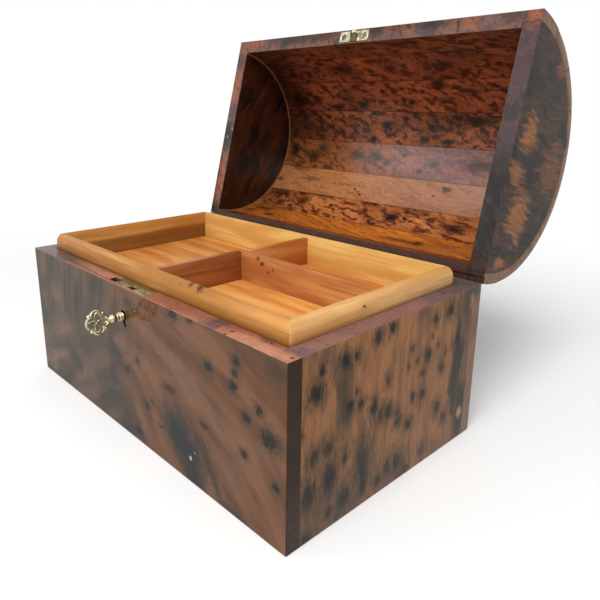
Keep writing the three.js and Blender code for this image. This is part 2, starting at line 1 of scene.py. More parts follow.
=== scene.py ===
# Wooden jewelry box: the varnished burl, the brass and the stage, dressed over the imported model.
# Everything is in metres where it doesn't say mm. X runs along the box, -Y is the front, +Z is up,
# and the lid stands open.
import math

import bmesh
import bpy
from bpy.props import FloatProperty, FloatVectorProperty, IntProperty, PointerProperty
from bpy.types import Operator, Panel, PropertyGroup
from mathutils import Matrix, Vector


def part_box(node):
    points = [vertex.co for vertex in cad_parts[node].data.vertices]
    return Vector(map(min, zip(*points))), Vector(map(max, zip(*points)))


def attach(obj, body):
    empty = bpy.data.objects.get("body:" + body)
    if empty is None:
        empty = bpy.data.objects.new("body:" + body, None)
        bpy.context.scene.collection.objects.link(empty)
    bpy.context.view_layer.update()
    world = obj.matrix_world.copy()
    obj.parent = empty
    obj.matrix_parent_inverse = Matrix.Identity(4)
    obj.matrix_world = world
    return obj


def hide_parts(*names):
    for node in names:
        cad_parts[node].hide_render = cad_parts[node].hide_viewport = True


bl_info = {
    "name": "Wooden jewelry box",
    "version": (1, 0, 0),
    "blender": (4, 5, 0),
    "location": "View3D > Sidebar > Jewelry box",
    "description": "Makes a burl jewelry box with a coopered dome lid, a tray, a lock and its key",
    "category": "Object",
}

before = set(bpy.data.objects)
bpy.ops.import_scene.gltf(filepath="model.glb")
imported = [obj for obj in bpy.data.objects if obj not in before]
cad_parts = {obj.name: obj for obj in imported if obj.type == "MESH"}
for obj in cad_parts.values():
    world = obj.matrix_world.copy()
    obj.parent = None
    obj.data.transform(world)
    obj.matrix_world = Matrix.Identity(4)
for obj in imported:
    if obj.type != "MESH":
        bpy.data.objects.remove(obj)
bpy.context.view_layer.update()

MM = 0.001
# The box
HALF_LENGTH = 150 * MM
HALF_WIDTH = 90 * MM
INNER_X = 138 * MM
BOX_TOP = 108 * MM
# The lid when shut, with its staves' joints in degrees from the front rim
LID_RIM = 108.5 * MM
ARC_CENTRE = 110.5 * MM
DOME_RADIUS = 90 * MM
STAVE = 11 * MM
STAVE_AT_END = 7.5 * MM
FIRST_JOINT = 16.5
STAVE_ANGLE = 21.6
STAVES = 9
# How many degrees from a joint a point counts as on it
JOINT_REACH = 0.3
# The lid's opening
OPEN_ANGLE = math.radians(104.6)
PIN = Vector((0, 90 * MM, 108 * MM))
LID_OPEN = Matrix.Translation(PIN) @ Matrix.Rotation(-OPEN_ANGLE, 4, "X") @ Matrix.Translation(-PIN)
LID_SHUT = LID_OPEN.inverted()
# The radius in mm at which an angle in the dome becomes a length across a stave's grain
GRAIN_RADIUS = 80
# How near a plane a point counts as on it, and how near two points are one
ON_PLANE = 1e-4
ONE_POINT = 1e-6
# How far an edge turns before it is rounded, and before it is drawn sharp
ROUNDED_FROM = math.radians(35)
SHARP_FROM = math.radians(30)
# How much of a face's normal lies along a direction that it faces
FACING = 0.7

# Settings that many nodes share
SMOOTH = {"interpolation_type": "SMOOTHSTEP"}
SEEDED = {"noise_dimensions": "4D"}
COLOURS = {"data_type": "RGBA"}
ADD, SUBTRACT, MULTIPLY, DIVIDE, MULTIPLY_ADD, MAXIMUM, LENGTH = (
    {"operation": name} for name in
    ("ADD", "SUBTRACT", "MULTIPLY", "DIVIDE", "MULTIPLY_ADD", "MAXIMUM", "LENGTH"))


# Small tools

def linear(colour):
    """Turns an sRGB hex colour into linear red, green, blue and alpha."""
    levels = [int(colour[i:i + 2], 16) / 255 for i in (1, 3, 5)]
    return [v / 12.92 if v <= 0.04045 else ((v + 0.055) / 1.055) ** 2.4 for v in levels] + [1.0]


def add(tree, kind, settings=None, inputs=None):
    """Adds one node with its settings, and its inputs by name or number as values or links.

    A link comes from another node's socket, or from the first socket of a node that is given."""
    node = tree.nodes.new(kind)
    for name, value in (settings or {}).items():
        setattr(node, name, value)
    for socket, value in (inputs or {}).items():
        if isinstance(value, bpy.types.Node):
            value = value.outputs[0]
        if isinstance(value, bpy.types.NodeSocket):
            tree.links.new(value, node.inputs[socket])
        else:
            node.inputs[socket].default_value = value
    return node


def empty_tree(owner):
    """Gives a material or the world a node tree with nothing in it."""
    owner.use_nodes = True
    owner.node_tree.nodes.clear()
    return owner.node_tree


def start_group(name, kind, inputs, output, made):
    """Starts a node group: its inputs' kinds by their names, and one output of the kind made."""
    tree = bpy.data.node_groups.new(name, kind)
    for socket, given in inputs.items():
        tree.interface.new_socket(socket, in_out="INPUT", socket_type=f"NodeSocket{given}")
    tree.interface.new_socket(output, in_out="OUTPUT", socket_type=f"NodeSocket{made}")
    return tree, add(tree, "NodeGroupInput").outputs


def new_object(name, mesh):
    """Puts a mesh in the scene as an object at the origin."""
    made = bpy.data.objects.new(name, mesh)
    bpy.context.scene.collection.objects.link(made)
    return made


def copy_shape(node):
    """Reads a CAD node's shape, with its triangles joined and its flat faces made whole."""
    shape = bmesh.new()
    shape.from_mesh(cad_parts[node].data)
    bmesh.ops.remove_doubles(shape, verts=shape.verts, dist=ONE_POINT)
    bmesh.ops.dissolve_limit(shape, angle_limit=math.radians(0.5), verts=shape.verts,
                             edges=shape.edges)
    return shape


def round_edges(shape, width_at):
    """Rounds the sharp edges, inside the shape's own box: width_at gives an edge's width or 0."""
    lowest = [min(vertex.co[axis] for vertex in shape.verts) for axis in range(3)]
    highest = [max(vertex.co[axis] for vertex in shape.verts) for axis in range(3)]
    groups = {}
    for edge in shape.edges:
        if len(edge.link_faces) == 2 and edge.calc_face_angle(0) > ROUNDED_FROM:
            middle = (edge.verts[0].co + edge.verts[1].co) / 2
            width = width_at(middle, edge.calc_length())
            if width:
                groups.setdefault(width, []).append(edge)
    for width in sorted(groups, reverse=True):
        edges = [edge for edge in groups[width] if edge.is_valid]
        bmesh.ops.bevel(shape, geom=edges, offset=width, segments=2, profile=0.5,
                        affect="EDGES", clamp_overlap=True, material=-1)
    for vertex in shape.verts:
        vertex.co = [min(max(vertex.co[axis], lowest[axis]), highest[axis]) for axis in range(3)]


def one_look(centre, normal):
    """Chooses the first material for every face."""
    return 0


def into_mesh(shape, name, grain, looks, choose=one_look):
    """Turns a shape into a mesh of the named materials, with choose to pick one for each face.

    Its grain attribute stores where each point lies in the wood: along, across and through."""
    mesh = bpy.data.meshes.new(name)
    shape.to_mesh(mesh)
    shape.free()
    stored = mesh.attributes.new("grain", "FLOAT_VECTOR", "POINT")
    for vertex in mesh.vertices:
        stored.data[vertex.index].vector = grain(vertex.co)
    for look in looks:
        mesh.materials.append(bpy.data.materials[look])
    for face in mesh.polygons:
        face.use_smooth = True
        face.material_index = choose(face.center, face.normal)
    mesh.set_sharp_from_angle(angle=SHARP_FROM)
    return mesh


def stand_in(mesh, name, body, slot, *nodes):
    """Makes a finished piece of a mesh: it rides on its body and takes its CAD nodes' place."""
    made = new_object(name, mesh)
    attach(made, body)
    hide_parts(*nodes)


def dress(node, ending, body, slot, width_at, grain, looks, choose=one_look):
    """Makes the finished piece of one CAD node, with its edges rounded and its wood laid on."""
    shape = copy_shape(node)
    round_edges(shape, width_at)
    stand_in(into_mesh(shape, node, grain, looks, choose), f"{node}_{ending}", body, slot, node)


# How the grain lies in a piece: along, across and through

def lengthwise(point):
    """Grain that runs along the box."""
    return point.x, point.z, point.y


def sideways(point):
    """Grain that runs from front to back."""
    return point.y, point.z, point.x


def upright(point):
    """Grain that stands upright in an end."""
    return point.z, point.y, point.x


# What the woods are drawn with, with every size in mm

def read_grain(tree):
    """Where a point lies in its piece of wood: along, across and through, in metres."""
    return add(tree, "ShaderNodeAttribute", {"attribute_name": "grain"}).outputs["Vector"]


def wander(tree, place, reach, size, seed=0.0):
    """Bends the wood's lines by up to reach over stretches of size."""
    drift = add(tree, "ShaderNodeTexNoise", SEEDED,
                {"Vector": place, "W": seed, "Scale": 1 / (size * MM), "Detail": 1.0})
    centred = add(tree, "ShaderNodeVectorMath", SUBTRACT,
                  {0: drift.outputs["Color"], 1: (0.5, 0.5, 0.5)})
    moved = add(tree, "ShaderNodeVectorMath", MULTIPLY_ADD,
                {0: centred, 1: [4 * reach * MM] * 3, 2: place})
    return moved


def figure(tree, place, along, across, start, end, seed=0.0, detail=2.0, lean=0):
    """Soft patches of the given size, whose length leans down by an angle in degrees."""
    if lean:
        place = add(tree, "ShaderNodeVectorRotate", {"rotation_type": "Z_AXIS"},
                    {"Vector": place, "Angle": math.radians(lean)})
    sized = add(tree, "ShaderNodeVectorMath", MULTIPLY,
                {0: place, 1: [1 / (size * MM) for size in (along, across, across)]})
    noise = add(tree, "ShaderNodeTexNoise", SEEDED,
                {"Vector": sized, "W": seed, "Scale": 1.0, "Detail": detail})
    return add(tree, "ShaderNodeMapRange", SMOOTH,
               {"Value": noise, "From Min": start, "From Max": end})


def towards(tree, place, axis, start, end, most=1.0):
    """How far a point lies from start to end along one direction of its place, up to most."""
    parts = add(tree, "ShaderNodeSeparateXYZ", {}, {0: place}).outputs
    return add(tree, "ShaderNodeMapRange", SMOOTH, {
        "Value": parts[axis], "From Min": start * MM, "From Max": end * MM,
        "To Max": most})


def eyes(tree, place, spacing, radius, share, seed=0.0, core=0.0):
    """The dark eyes of burl, in a share of the cells: up to radius wide, with a fully dark core."""
    # Eyes are longer along the grain, and longest through the wood
    sized = add(tree, "ShaderNodeVectorMath", MULTIPLY,
                {0: place, 1: [stretch / (spacing * MM) for stretch in (0.7, 1, 0.4)]})
    cells = add(tree, "ShaderNodeTexVoronoi", {"voronoi_dimensions": "4D"},
                {"Vector": sized, "W": seed, "Scale": 1.0})
    luck = add(tree, "ShaderNodeSeparateColor", {}, {0: cells.outputs["Color"]})
    chosen = add(tree, "ShaderNodeMath", {"operation": "LESS_THAN"}, {0: luck, 1: share})
    reach = add(tree, "ShaderNodeMapRange", {}, {
        "Value": luck.outputs[1], "To Min": 0.5 * radius / spacing, "To Max": radius / spacing})
    dark = add(tree, "ShaderNodeMath", MULTIPLY, {0: reach, 1: core})
    depth = add(tree, "ShaderNodeMapRange", SMOOTH, {
        "Value": cells.outputs["Distance"], "From Min": reach,
        "From Max": dark})
    return add(tree, "ShaderNodeMath", MULTIPLY, {0: depth, 1: chosen})


# A knot darkens from its edge to its heart, which are shares of its reach
KNOT_EDGE, KNOT_HEART = 1.25, 0.35


def knot_group():
    """The nodes of one knot: a soft oval with a ragged edge, joined to the knots before it."""
    if "knot" in bpy.data.node_groups:
        return bpy.data.node_groups["knot"]
    tree, given = start_group("knot", "ShaderNodeTree", {
        "Place": "Vector", "Centre": "Vector", "Reach": "Vector", "Depth": "Float",
        "Ragged": "Float", "Before": "Float"}, "Dark", "Float")
    offset = add(tree, "ShaderNodeVectorMath", SUBTRACT, {0: given["Place"], 1: given["Centre"]})
    scaled = add(tree, "ShaderNodeVectorMath", DIVIDE, {0: offset, 1: given["Reach"]})
    distance = add(tree, "ShaderNodeVectorMath", LENGTH, {0: scaled}).outputs["Value"]
    ragged = add(tree, "ShaderNodeMath", ADD, {0: distance, 1: given["Ragged"]})
    soft = add(tree, "ShaderNodeMapRange", SMOOTH, {
        "Value": ragged, "From Min": KNOT_EDGE, "From Max": KNOT_HEART})
    deep = add(tree, "ShaderNodeMath", MULTIPLY, {0: soft, 1: given["Depth"]})
    whole = add(tree, "ShaderNodeMath", MAXIMUM, {0: deep, 1: given["Before"]})
    add(tree, "NodeGroupOutput", {}, {"Dark": whole})
    return tree


def knots(tree, place, spots, ragged=0.3, frayed=(6, 3), seed=3.0, lean=0):
    """Knots at chosen places, each as along, across, its two reaches and its depth.

    Their edges are ragged by a share of their reach, in frays of the given length and width."""
    flat = add(tree, "ShaderNodeVectorMath", MULTIPLY, {0: place, 1: (1, 1, 0)})
    if lean:
        flat = add(tree, "ShaderNodeVectorRotate", {"rotation_type": "Z_AXIS"},
                   {"Vector": flat, "Angle": math.radians(lean)})
    fray = figure(tree, flat, *frayed, 0.2, 0.8, seed)
    edge = add(tree, "ShaderNodeMapRange", {}, {"Value": fray, "To Min": -ragged, "To Max": ragged})
    turn = Matrix.Rotation(math.radians(lean), 3, "Z")
    dark = 0.0
    for along, across, reach_along, reach_across, depth in spots:
        dark = add(tree, "ShaderNodeGroup", {"node_tree": knot_group()}, {
            "Place": flat, "Centre": turn @ Vector((along * MM, across * MM, 0)),
            "Reach": (reach_along * MM, reach_across * MM, 1), "Depth": depth,
            "Ragged": edge, "Before": dark})
    return dark


def grown(spots, reach, depth):
    """The same knots made larger and fainter, for the stained wood round them."""
    return [(along, across, reach * a, reach * b, depth * d) for along, across, a, b, d in spots]


def stain(tree, base, *layers):
    """Lays colours over a base colour in turn, each as a mask and a hex colour."""
    colour = linear(base) if isinstance(base, str) else base
    for mask, tint in layers:
        colour = add(tree, "ShaderNodeMix", COLOURS,
                     {0: mask, 6: colour, 7: linear(tint)}).outputs[2]
    return colour


def shade(tree, colour, level, lowest):
    """Darkens a colour down to lowest where the level is 0."""
    light = add(tree, "ShaderNodeMapRange", {}, {"Value": level, "To Min": lowest, "To Max": 1.0})
    return add(tree, "ShaderNodeMix", {**COLOURS, "blend_type": "MULTIPLY"},
               {0: 1.0, 6: colour, 7: light}).outputs[2]


# The roughness of a wood's dark and light fibres, how deep its pores are, and how much wood,
# varnish and wax bend the light
DARK_FIBRE, LIGHT_FIBRE = 0.55, 0.4
PORE_DEPTH = 0.06 * MM
WOOD_IOR = 1.5


def wood(name, paint, coat, coat_roughness, under=0.12):
    """A wood's material: what paint draws, with the finish over it as a coat.

    paint takes the grain's place and gives a colour, the fibres' height, and how far the fibres
    darken the colour. under is how much the wood shines below its coat, which pales dark places."""
    material = bpy.data.materials.new(name)
    tree = empty_tree(material)
    colour, height, lowest = paint(tree, read_grain(tree))
    dull = add(tree, "ShaderNodeMapRange", {}, {
        "Value": height, "To Min": DARK_FIBRE, "To Max": LIGHT_FIBRE})
    pores = add(tree, "ShaderNodeBump", {}, {
        "Strength": 0.5, "Distance": PORE_DEPTH, "Height": height})
    shader = add(tree, "ShaderNodeBsdfPrincipled", {}, {
        "Base Color": shade(tree, colour, height, lowest), "Roughness": dull, "Normal": pores,
        "IOR": WOOD_IOR, "Specular IOR Level": under, "Coat Weight": coat,
        "Coat Roughness": coat_roughness, "Coat IOR": WOOD_IOR})
    add(tree, "ShaderNodeOutputMaterial", {}, {"Surface": shader})


# The knots that the photograph shows, each as along, across, its two reaches in mm, and how
# dark it is. On the front board, along is X and across is Z.
FRONT_KNOTS = [
    (54, 105.5, 6, 4, 0.9), (71, 106.5, 4, 2.5, 0.7), (88, 84.4, 4.2, 4, 0.9),
    (112.4, 96, 4.2, 4.6, 0.8), (111, 89, 3.5, 4, 0.75), (109.6, 81, 4.4, 4, 0.95),
    (130, 75, 4.4, 4.2, 0.85), (120, 67, 4.4, 3.8, 0.9), (138, 62, 9, 6.5, 0.9),
    (136, 59, 4, 3.5, 0.95), (118, 44.4, 4, 3.2, 0.85), (142.4, 37, 4, 3.8, 0.9),
    (47, 55.6, 8.5, 3.4, 0.7), (82, 45.6, 5.4, 2.4, 0.65), (10, 60.6, 3.6, 3.4, 0.75),
    (-4, 50, 5.5, 4.5, 0.6), (20, 32.6, 5, 4, 0.75), (26, 38, 3.6, 3, 0.55),
    (36, 24.4, 3.8, 2, 0.7), (12, 72, 7, 2.4, 0.3), (0, 99.6, 4.4, 3, 0.45), (7, 8, 6, 4, 0.95)]
FRONT_SMOKE = [
    (-138, 82, 9, 10, 0.55), (-88, 29, 13, 10, 0.85), (-102, 98, 5, 12, 0.4),
    (-43, 100, 13, 9, 0.5), (-22, 58, 15, 11, 0.8), (-20, 74, 8, 8, 0.6), (-22, 36, 12, 8, 0.75),
    (-20, 18, 28, 15, 0.6), (-2, 6, 17, 6, 0.85), (-42, 28, 16, 10, 0.45), (-116, 14, 11, 6, 0.35),
    (-144, 58, 8, 14, 0.4), (80, 22, 17, 15, 0.5), (108, 1.5, 14, 4, 0.6), (146, 104, 11, 7, 0.5),
    (-60, 72, 15, 13, 0.35), (12, 100, 10, 5, 0.3)]
FRONT_RISING = [
    (-62, 48, 19, 4.5, 0.55), (-112, 32, 14, 4, 0.3), (-78, 12, 24, 5, 0.35),
    (-118, 62, 14, 5, 0.3)]
FRONT_FLAMES = [
    (60, 25, 34, 17, 0.97), (68, 8, 18, 12, 0.9), (90, 16, 22, 3.4, 0.6), (84, 30, 14, 2, 0.5)]
FRONT_PINK = [
    (-126, 18, 28, 9, 0.8), (-106, 50, 18, 5, 0.7), (-112, 76, 8, 12, 0.5), (-74, 22, 18, 5, 0.4),
    (-11, 70, 9, 4, 0.7), (-4, 57, 8, 4, 0.5)]
FRONT_LIGHT = [
    (66, 66, 54, 9, 0.6), (108, 24, 26, 12, 0.4), (-12, 69, 12, 6, 0.4), (20, 84, 22, 6, 0.3)]
FRONT_SPECKS = [(67.6, 17, 1.5, 1.8, 0.8), (72, 22.5, 0.7, 0.9, 0.5)]
# On the right end board, along is Z and across is Y.
RIGHT_KNOTS = [
    (96, -66, 4.6, 3.4, 0.95), (85, -70, 7.6, 7, 0.95), (96, -48, 6.5, 5.4, 0.95),
    (96, -38.5, 5, 3.4, 0.85), (101.5, -20.9, 5, 4.6, 0.8), (103.6, -8.1, 4.6, 3.6, 0.95),
    (97.5, 36.3, 5, 4, 0.8), (98.5, 53, 6, 6, 0.9), (84.4, 13, 3.6, 3, 0.65),
    (75, 30, 6.4, 5.2, 0.85), (74, 10.4, 3.4, 2.4, 0.6), (75, 19.6, 3.6, 2.4, 0.6),
    (87, 34, 3.6, 2.4, 0.5), (79, 40.4, 3, 2.6, 0.6), (72.4, -10, 5.5, 3.4, 0.65),
    (62, 47, 6, 4, 0.7), (72, 50.5, 5, 3, 0.55), (50, 26.6, 5.5, 4.2, 0.9), (52, 17, 5, 3.4, 0.8),
    (65, 26, 4, 3.6, 0.75), (35, 13, 5, 4.6, 0.9), (34, 45, 7, 4.6, 0.85), (24, 54, 6.4, 4.4, 0.7),
    (68, -43, 6, 4.6, 0.95), (66, -34, 5, 4, 0.85), (75, -37.6, 3.4, 2.4, 0.6),
    (60, -22, 7.4, 4.8, 0.85), (52, -15, 7, 5, 0.7), (52, -8, 7, 4.4, 0.85), (48, 1, 5, 4, 0.65),
    (41, 2.4, 4.6, 4.4, 0.85), (28, -30, 20, 8.4, 0.75), (20, -29, 9, 6.4, 0.85),
    (38, -46, 6, 3.6, 0.75), (50, -60, 7, 5, 0.75), (49, -71, 7, 5, 0.75), (31, -58, 12, 7, 0.95),
    (28, -74, 10, 6.4, 0.9), (13, -46, 9, 7.4, 0.9), (13, -29, 10, 5, 0.9),
    (9, -14.9, 5, 4.6, 0.85), (14, -6, 8, 3.6, 0.75), (13, 3, 8.4, 5, 0.9), (4, 14, 4, 4, 0.7),
    (10, 31, 8, 5, 0.65), (3, -76, 4, 6, 0.85), (10, -58, 4.6, 4, 0.8), (66, -79, 5, 2, 0.5)]
RIGHT_SMOKE = [
    (58, 66, 66, 7.5, 0.92), (22, 72, 26, 12, 0.85), (96, 74, 16, 8, 0.6), (78, -46, 26, 7, 0.5),
    (46, -50, 30, 5, 0.35), (16, -70, 30, 20, 0.55), (10, -44, 22, 16, 0.45), (10, -8, 12, 30, 0.3),
    (102, 87, 10, 6, 0.5), (104, 60, 6, 20, 0.3)]
# Pale sapwood that shows in two chips
RIGHT_PALE = [(99, 82, 6.4, 5, 0.8), (19.5, 75, 5, 4, 0.85)]
# On the box's rim, along is X and across is Y.
RIM_PALE = [(128, -86, 22, 6, 0.8)]
RIM_HOLES = [
    (147.1, -84.2, 1.4, 1.2, 1.0), (136.2, 80.9, 1.3, 1.3, 1.0), (141, -60, 0.8, 0.8, 0.7),
    (92, -85.5, 1.6, 0.8, 0.7)]
# On a stave, along is X and across is the angle from the front rim in degrees.
STAVE_MARKS = {
    2: [
        (-40, 27.6, 11, 6, 0.6), (0, 22, 15, 5, 0.5), (60, 27.6, 10, 5, 0.75),
        (84, 20, 17, 6, 0.5)],
    3: [
        (-116, 52, 13, 8, 0.75), (-92, 51.7, 6, 5, 0.7), (-70, 56.6, 10, 4, 0.6),
        (-52, 49, 12, 9, 0.5), (-34, 55, 8, 5, 0.7), (50, 41.5, 9, 4, 0.85), (77, 46.5, 6, 3, 0.6)],
    4: [
        (84, 64.5, 24, 5, 0.65), (-10, 69, 8, 4, 0.8), (-34, 72.6, 4, 3, 0.7),
        (-24, 78.4, 5, 3, 0.8), (-52, 77.8, 6, 3, 0.7), (-68, 75.5, 7, 3, 0.7),
        (-6, 76, 4, 2.5, 0.7), (32, 77, 5, 3, 0.8), (38, 69.7, 4, 3, 0.7), (42, 75, 4, 2.5, 0.7),
        (54, 78, 6, 2.5, 0.7), (62, 63, 6, 3, 0.7)],
    5: [
        (-42, 90.6, 9, 5, 0.6), (-18, 90.6, 8, 6, 0.7), (-5, 93.5, 5, 4, 0.7),
        (45, 92.3, 5, 2.5, 0.7), (88, 91.5, 15, 6, 0.6), (-127, 90, 7, 9, 0.85),
        (-98, 94.4, 7, 6, 0.75), (-87, 87, 5, 4, 0.6)],
    6: [
        (64, 107.4, 5, 3, 0.8), (-29, 116, 1.8, 1.4, 0.9), (-25, 117.6, 1.8, 1.4, 0.9),
        (-21, 119.6, 1.8, 1.4, 0.9), (54, 113, 2, 1.4, 0.7), (-110, 104, 20, 3, 0.5),
        (-92, 112, 14, 3, 0.5), (-134, 115, 5, 3, 0.7), (-40, 113, 30, 1.2, 0.35)],
    7: [
        (28, 135, 7, 7, 0.97), (-64, 124, 16, 4, 0.8), (-4, 124.5, 10, 5, 0.75),
        (-120, 128, 18, 7, 0.6), (-82, 133, 8, 8, 0.7), (48, 126, 18, 6, 0.5),
        (66, 131, 6, 5, 0.75), (92, 136, 10, 6, 0.7)],
    8: [
        (75, 157.6, 6, 5, 0.85), (58, 158, 20, 4.5, 0.6), (-116, 149.5, 14, 4, 0.75),
        (-98, 158, 8, 4, 0.75), (-128, 156, 10, 5, 0.7), (-8, 146, 16, 2, 0.4),
        (100, 152, 12, 2, 0.35)]}
# On the lid's right end, along is Z and across is Y in the shut lid.
LID_END_LIGHT = [
    (128, -16, 15, 12, 0.9), (123, 12.5, 15, 8, 0.8), (137, 41, 16, 19, 0.85),
    (125.5, 75, 8, 5, 0.9), (175, 2.5, 22, 20, 0.4), (158, -65, 12, 6, 0.5)]
# On the open lid's rim, along is X and across is Z.
LID_RIM_BRIGHT = [
    (-144, 146, 9, 26, 0.8), (-144, 236, 9, 20, 0.5), (-132, 279, 24, 7, 0.55),
    (145, 279, 6, 8, 0.75), (30, 280, 5, 8, 0.3), (50, 280, 5, 8, 0.35), (100, 280, 6, 8, 0.3)]
LID_RIM_SMOKE = [
    (-144, 191, 9, 17, 0.9), (-146, 262, 8, 7, 0.5), (-78, 280, 26, 7, 0.35),
    (-35, 280, 14, 7, 0.45), (18, 280, 7, 7, 0.6), (70, 280, 14, 6, 0.5), (129, 280, 8, 7, 0.65),
    (144, 219, 8, 7, 0.6), (144, 188, 7, 7, 0.5), (140, 138, 8, 12, 0.6)]
LID_RIM_CHIPS = [(-144.4, 190.4, 1, 1.6, 0.9), (-139.6, 198.4, 1.6, 2.4, 0.7)]
# On the tray, along is X or Y, as the wood runs, and across is Z.
FRONT_WALL_KNOTS = [(51.4, 119.4, 2.6, 2, 0.7), (60.5, 120, 3.6, 2.6, 0.9), (43, 118, 1.4, 1, 0.5)]
RIGHT_WALL_KNOTS = [(-17.9, 114.9, 1.6, 1.3, 0.9)]
PARTITION_KNOTS = [
    (23.3, 116, 1.8, 1.4, 0.8), (27.5, 112.7, 2.4, 1.8, 0.9), (34, 108, 1.8, 1.4, 0.8),
    (39, 110.5, 1.2, 1, 0.7)]


class JewelryBoxWoods(PropertyGroup):
    """The colours and finish of the woods."""
    arris: FloatProperty(
        name="Arris", description="Rounding of the box's outer edges", subtype="DISTANCE",
        unit="LENGTH", min=0, default=0.7 * MM)
    joint: FloatProperty(
        name="Joint line", description="Rounding along the joints", subtype="DISTANCE",
        unit="LENGTH", min=0, default=0.15 * MM)
    varnish: FloatProperty(
        name="Varnish", description="Roughness of the box's varnish", subtype="FACTOR",
        min=0, max=1, default=0.06)
    lid_varnish: FloatProperty(
        name="Lid varnish", description="Roughness of the varnish in the lid", subtype="FACTOR",
        min=0, max=1, default=0.22)


class JewelryBoxMetals(PropertyGroup):
    """The brass and steel."""
    brass: FloatVectorProperty(
        name="Brass", description="Colour of the cast brass", subtype="COLOR",
        min=0, max=1, default=linear("#d9d2b0")[:3])
    steel: FloatVectorProperty(
        name="Screws", description="Colour of the zinc-plated screws", subtype="COLOR",
        min=0, max=1, default=linear("#8d969b")[:3])
    sides: IntProperty(
        name="Sides", description="Sides of a screw's round head", min=8, max=64, default=24)


class JewelryBoxStage(PropertyGroup):
    """The floor, the light and the camera."""
    floor: FloatVectorProperty(
        name="Floor", description="Colour of the floor", subtype="COLOR",
        min=0, max=1, default=linear("#f2f2f1")[:3])
    ambient: FloatProperty(
        name="Ambient", description="Strength of the light from all round", min=0, default=0.6)
    lamp: FloatProperty(
        name="Lamp", description="Power of the large soft lamp", subtype="POWER", unit="POWER",
        min=0, default=22.0)
    fill: FloatProperty(
        name="Fill", description="Power of the small fill lamp", subtype="POWER", unit="POWER",
        min=0, default=2.0)
    lens: FloatProperty(
        name="Lens", description="Focal length in mm on a 36 mm sensor", min=1, default=34.97)


# Woods of the box

def paint_front(tree, place):
    """Thuya burl of the front board: grey and smoky at the left, tan and slanting at the right."""
    loose = wander(tree, place, 2.2, 30)
    drift = wander(tree, place, 12, 50, 3.0)
    right = towards(tree, drift, 0, -20, 20)
    high = towards(tree, drift, 1, 45, 75)

    def flowing(along, across, start, end, seed, detail=2.0):
        """A figure that rises low on the left, stands above that, and slants down on the right."""
        low_left, high_left, low_right, high_right = (
            figure(tree, loose, along, across, start, end, seed, detail, lean)
            for lean in (-30, -80, 50, 20))
        left_half = add(tree, "ShaderNodeMix", {}, {0: high, 2: low_left, 3: high_left})
        right_half = add(tree, "ShaderNodeMix", {}, {0: high, 2: low_right, 3: high_right})
        return add(tree, "ShaderNodeMix", {}, {0: right, 2: left_half, 3: right_half})
    fine = flowing(30, 0.9, 0.25, 0.75, 1.0, 3.0)
    broad = flowing(70, 8, 0.34, 0.66, 5.0)
    warm = flowing(80, 18, 0.42, 0.62, 7.0)
    tan_wood = stain(tree, "#623b20", (broad, "#52341c"), (warm, "#734d34"))
    grey_wood = stain(tree, "#4a392c", (broad, "#372b21"), (warm, "#5a4637"))
    greyness = towards(tree, drift, 0, 20, -40)
    both = add(tree, "ShaderNodeMix", COLOURS, {0: greyness, 6: tan_wood, 7: grey_wood})
    soft = wander(tree, wander(tree, place, 3.5, 20, 4.0), 1.2, 5, 5.0)
    light = knots(tree, soft, FRONT_LIGHT, 0.3, (20, 4), 11.0, 26)
    smoke = knots(tree, soft, FRONT_SMOKE, 0.35, (12, 12), 6.0)
    rising = knots(tree, soft, FRONT_RISING, 0.35, (20, 4), 12.0, -30)
    pink = knots(tree, soft, FRONT_PINK, 0.35, (20, 6), 14.0, -30)
    flames = knots(tree, soft, FRONT_FLAMES, 0.2, (20, 3), 13.0, 54)
    ragged = wander(tree, place, 0.7, 3.2, 2.0)
    halo = knots(tree, ragged, grown(FRONT_KNOTS, 1.7, 0.5), 0.3, (3, 3), 8.0)
    dark = knots(tree, ragged, grown(FRONT_KNOTS, 0.85, 1.0), 0.45, (2, 2))
    speck = knots(tree, place, FRONT_SPECKS, 0.2)
    colour = stain(tree, both.outputs[2], (light, "#795741"), (pink, "#73513f"),
                   (rising, "#35332d"), (smoke, "#252824"), (flames, "#181f21"),
                   (halo, "#2d2a24"), (dark, "#090b0a"), (speck, "#c9b8a8"))
    return colour, fine, 0.8


def paint_right_end(tree, place):
    """Thuya burl of the right end: upright fibres, many long dark eyes and smoke near the back."""
    loose = wander(tree, place, 1.8, 20)
    fine = figure(tree, loose, 30, 1, 0.25, 0.75, 1.0, 3.0)
    broad = figure(tree, loose, 60, 6, 0.4, 0.7, 5.0)
    haze = figure(tree, loose, 40, 14, 0.5, 0.7, 8.0)
    soft = wander(tree, place, 3.5, 18, 4.0)
    smoke = knots(tree, soft, RIGHT_SMOKE, 0.35, (20, 4), 6.0)
    behind = towards(tree, place, 1, 66, 74, 0.8)
    ragged = wander(tree, place, 0.8, 4, 2.0)
    halo = knots(tree, ragged, grown(RIGHT_KNOTS, 1.6, 0.75), 0.45, (6, 1.5), 9.0)
    dark = knots(tree, ragged, grown(RIGHT_KNOTS, 0.75, 1.0), 0.45, (6, 1.5))
    pale = knots(tree, ragged, RIGHT_PALE, 0.4, (3, 3), 10.0)
    colour = stain(tree, "#93623c", (broad, "#724f33"), (haze, "#5c4432"), (behind, "#594338"),
                   (smoke, "#1f231c"), (halo, "#3a2d1f"), (dark, "#0a0d0a"), (pale, "#b28a68"))
    return colour, fine, 0.74


